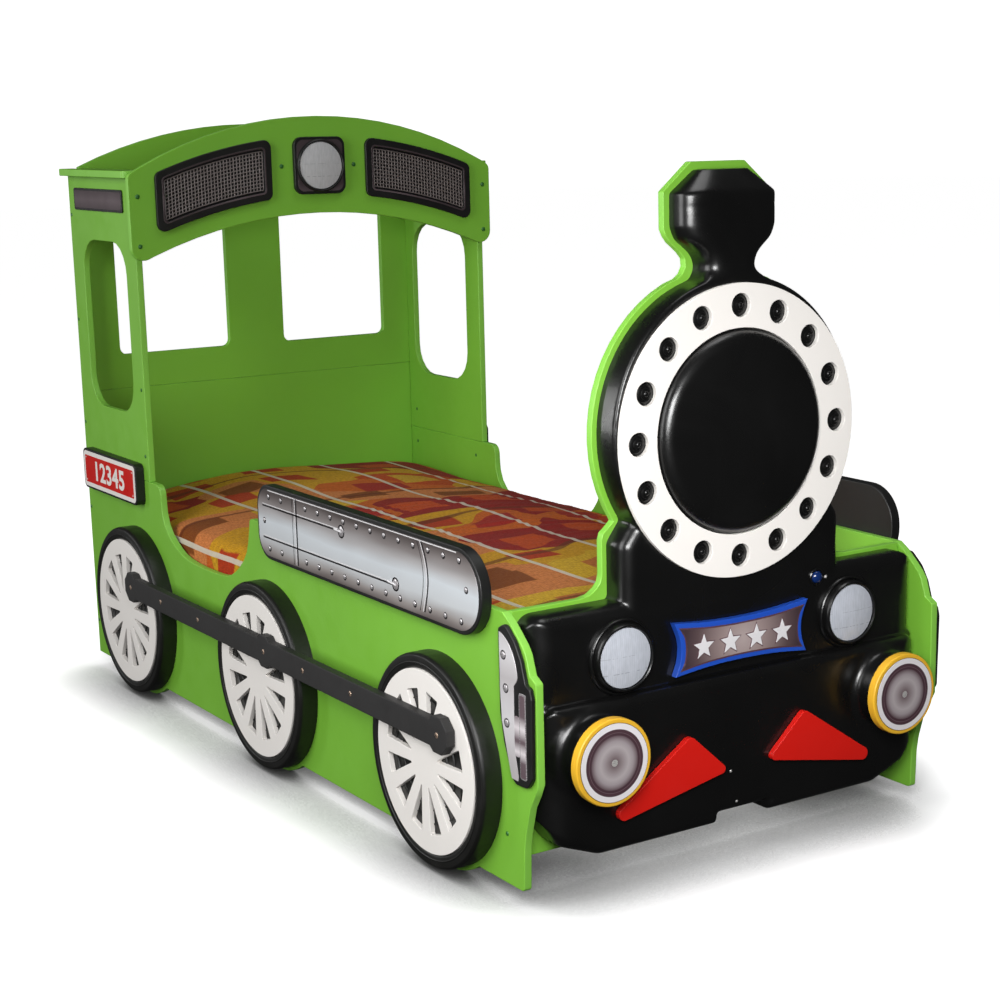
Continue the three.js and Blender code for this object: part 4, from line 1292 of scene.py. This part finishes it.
def spread_sheet(step, reach_limit, clear):
    """A grid sheet laid on the bed, its flat place kept as its UV map; its corners are cut round."""
    made = bmesh.new()
    flat = made.loops.layers.uv.new("flat")
    across, along = (even_steps(half, step) for half in SHEET_HALF)
    grid = {}
    for i, s in enumerate(across):
        for j, t in enumerate(along):
            out = math.hypot(max(0, abs(s) - CORE[0]), max(0, abs(t) - CORE[1]))
            if out <= reach_limit:
                grid[i, j] = (made.verts.new(laid(s, t, clear) * MM), s, t)
    for i in range(len(across) - 1):
        for j in range(len(along) - 1):
            keys = [(i, j), (i + 1, j), (i + 1, j + 1), (i, j + 1)]
            if all(key in grid for key in keys):
                face = made.faces.new([grid[key][0] for key in keys])
                for loop, key in zip(face.loops, keys):
                    loop[flat].uv = (grid[key][1] * MM, grid[key][2] * MM)
    loose = [v for v in made.verts if not v.link_faces]
    bmesh.ops.delete(made, geom=loose, context="VERTS")
    mesh = bpy.data.meshes.new("sheet")
    made.to_mesh(mesh)
    made.free()
    return mesh


def settle(mesh):
    """Lets the slack sheet fall onto the bed's form and wrinkle, held at its hem. Returns the new mesh."""
    scene = bpy.context.scene
    cloth = link(bpy.data.objects.new("falling_sheet", mesh))
    form = link(bpy.data.objects.new("bed_form", spread_sheet(24, FORM_REACH, -2.0)))
    form.modifiers.new("collision", "COLLISION")
    form.collision.thickness_outer = 0.003
    form.collision.cloth_friction = 12
    group = cloth.vertex_groups.new(name="hem")
    group.add([v.index for v in mesh.vertices if v.co.z < HEM_Z * MM], 1.0, "REPLACE")
    sim = cloth.modifiers.new("cloth", "CLOTH")
    sim.settings.quality = 5
    sim.settings.mass = 0.35
    sim.settings.tension_stiffness = 12
    sim.settings.compression_stiffness = 8
    sim.settings.shear_stiffness = 4
    sim.settings.bending_stiffness = 1.6
    sim.settings.shrink_min = -0.022
    sim.settings.vertex_group_mass = "hem"
    sim.collision_settings.distance_min = 0.003
    sim.collision_settings.collision_quality = 2
    sim.point_cache.frame_end = SETTLE_FRAMES
    for step in range(1, SETTLE_FRAMES + 1):
        scene.frame_set(step)
    result = evaluated_mesh(cloth)
    scene.frame_set(1)
    for helper in (cloth, form):
        bpy.data.objects.remove(helper)
    return result


def mattress():
    pad = Shape()
    length = 946
    outline = rectangle(-443, 443, BED_CENTRE_Y - length, BED_CENTRE_Y + length, 60)
    pad.plate("z", [outline], 276.8, MATTRESS_TOP - 4, 24, 0, 5)
    made = pad.done("mattress_pad", [ticking()], "mattress_ticking", "bedding", ["mattress"], 60)
    piping = Shape()
    for z in (301, MATTRESS_TOP - 28):
        ring = rectangle(-443.6, 443.6, BED_CENTRE_Y - length - 0.6, BED_CENTRE_Y + length + 0.6, 60)
        piping.wire([(u, v, z) for u, v in [*ring, ring[0]]], 2.4, 8)
    edge = painted("piping_cloth", "8fa0b4", 0.85)
    piping.done("mattress_piping", [edge], "mattress_ticking", "bedding")
    return made


def cover(pad):
    step = 12
    mesh = spread_sheet(step, SHEET_REACH, 3.0)
    mesh = settle(mesh)
    for vertex in mesh.vertices:
        vertex.co.x = max(-COVER_LIMIT_X * MM, min(COVER_LIMIT_X * MM, vertex.co.x))
        vertex.co.y = max(COVER_LIMITS_Y[0] * MM, min(COVER_LIMITS_Y[1] * MM, vertex.co.y))
    plaid = [woven_plaid()]
    made = finished("bed_cover_cloth", mesh, plaid, "bedding", ["bed_cover"], 180, False)
    thick = made.modifiers.new("cloth_thickness", "SOLIDIFY")
    thick.thickness = 0.0035
    thick.offset = 0
    fine = made.modifiers.new("fine", "SUBSURF")
    fine.levels = fine.render_levels = 1


# ---- Stage ----


def floor():
    bpy.ops.mesh.primitive_plane_add(size=60, location=(0, 0, 0))
    ground = bpy.context.object
    ground.name = "studio_floor"
    look = Look("studio_floor", Roughness=0.9, Emission_Strength=1.0)
    # The floor glows white in the open. Its glow fades to near black where the bed stands close above it,
    # read from ambient occlusion: a painted contact shadow.
    closeness = look.node("AmbientOcclusion", samples=8)
    closeness.inputs["Distance"].default_value = 0.3
    openness = closeness.outputs["AO"]
    stops = [(0.25, (0.01, 0.01, 0.01, 1)), (0.66, (0.28, 0.28, 0.28, 1)), (0.95, (0.95, 0.95, 0.95, 1))]
    look.feed("Emission Color", look.ramp(openness, stops))
    # Painted shadow: the floor's own colour is also darker close under the bed.
    near = look.span(openness, 0.35, 0.9, 0, 1)
    pale = look.mix(look.noise(2), rgb("f2f2f2"), rgb("fafafa"))
    look.feed("Base Color", look.mix(near, rgb("4a4a4a"), pale))
    ground.data.materials.append(look.material)
    ground.visible_glossy = False
    ground.visible_diffuse = False


def soft_light(name, place_at, aim, size, power, spread=math.pi):
    data = bpy.data.lights.new(name, "AREA")
    data.shape = "RECTANGLE"
    data.size, data.size_y = size
    data.energy = power
    data.spread = spread
    lamp = link(bpy.data.objects.new(name, data))
    lamp.location = place_at
    lamp.visible_camera = False
    lamp.rotation_euler = (Vector(aim) - Vector(place_at)).to_track_quat("-Z", "Y").to_euler()


def world_light(camera_level, fill, gloss):
    """A white backdrop for the camera, a soft fill for surfaces and a dark studio in reflections."""
    world = bpy.data.worlds.new("studio")
    bpy.context.scene.world = world
    world.use_nodes = True
    tree = world.node_tree
    background = tree.nodes["Background"]
    path = tree.nodes.new("ShaderNodeLightPath")
    seen = tree.nodes.new("ShaderNodeMix")
    mirror = tree.nodes.new("ShaderNodeMix")
    mirror.inputs["A"].default_value = fill
    mirror.inputs["B"].default_value = gloss
    seen.inputs["B"].default_value = camera_level
    tree.links.new(path.outputs["Is Glossy Ray"], mirror.inputs["Factor"])
    tree.links.new(mirror.outputs["Result"], seen.inputs["A"])
    tree.links.new(path.outputs["Is Camera Ray"], seen.inputs["Factor"])
    tree.links.new(seen.outputs["Result"], background.inputs["Strength"])
    background.inputs["Color"].default_value = (1, 1, 1, 1)


def camera():
    azimuth, elevation, roll = (math.radians(a) for a in (-34.286, 12.113, -0.891))
    level = math.cos(elevation)
    forward = Vector((-math.sin(azimuth) * level, math.cos(azimuth) * level, -math.sin(elevation)))
    right = Vector((math.cos(azimuth), math.sin(azimuth), 0))
    up = right.cross(forward)
    rolled_right = math.cos(roll) * right + math.sin(roll) * up
    rolled_up = math.cos(roll) * up - math.sin(roll) * right
    data = bpy.data.cameras.new("camera")
    data.lens = 70.66
    data.sensor_width = 36
    data.shift_x = -0.08
    data.shift_y = 0.04
    data.clip_end = 200
    made = link(bpy.data.objects.new("camera", data))
    turn = Matrix((rolled_right, rolled_up, -forward)).transposed().to_4x4()
    made.matrix_world = Matrix.Translation((-2.23028, -3.74121, 1.37430)) @ turn
    bpy.context.scene.camera = made


def studio():
    floor()
    world_light(1.1, 0.055, 0.03)
    soft_light("side_key", (-3.6, -0.6, 1.9), (0, -0.1, 0.5), (1.8, 3.2), 98)
    soft_light("front_key", (-1.2, -2.5, 1.3), (0.1, -1.0, 0.6), (0.9, 0.9), 14, math.radians(80))
    soft_light("top_fill", (0.6, -1.0, 4.0), (0, -0.6, 0.4), (1.6, 1.6), 26)
    soft_light("rear_strip", (-3.4, 3.4, 1.3), (-0.3, -0.9, 0.8), (0.8, 2.0), 34)
    bpy.context.scene.view_settings.view_transform = "Standard"
    camera()


# ---- Assembly ----

MAUVE = banded_print("mauve_print", "4b4144", "6d6165", [(1.2, 0.03)])
WIRE_GREY = painted("wire_grey", "6c6462", 0.4)
TRIM_SILVER = banded_print("trim_silver", "c9c4c5", "e6e4e6", [(0.47, 0.05), (0.35, 0.08)])
TRIM_MAUVE = banded_print("trim_mauve", "6b5960", "efe8eb", [(0.342, 0.022), (0.298, 0.018)])

boards()
board_caps()
front_shell()
ring_bolts()
smokebox_ring()
headlights()
nameplate()
light_button()
buffers()
red_plates()
boiler_shade = boiler_print()
for side_name, side_sign in SIDES:
    for end_name in HUB_Y:
        wheel(end_name, side_name, side_sign)
    coupling_rod(side_name, side_sign)
    boiler_plate(side_name, side_sign, boiler_shade)
    corner_trim(side_name, side_sign, TRIM_SILVER, TRIM_MAUVE)
    number_plate(side_name, side_sign)
    badge_plate(side_name, side_sign, MAUVE)
    grille(side_name, side_sign, MAUVE)
cab_lamp(MAUVE)
cover(mattress())
studio()
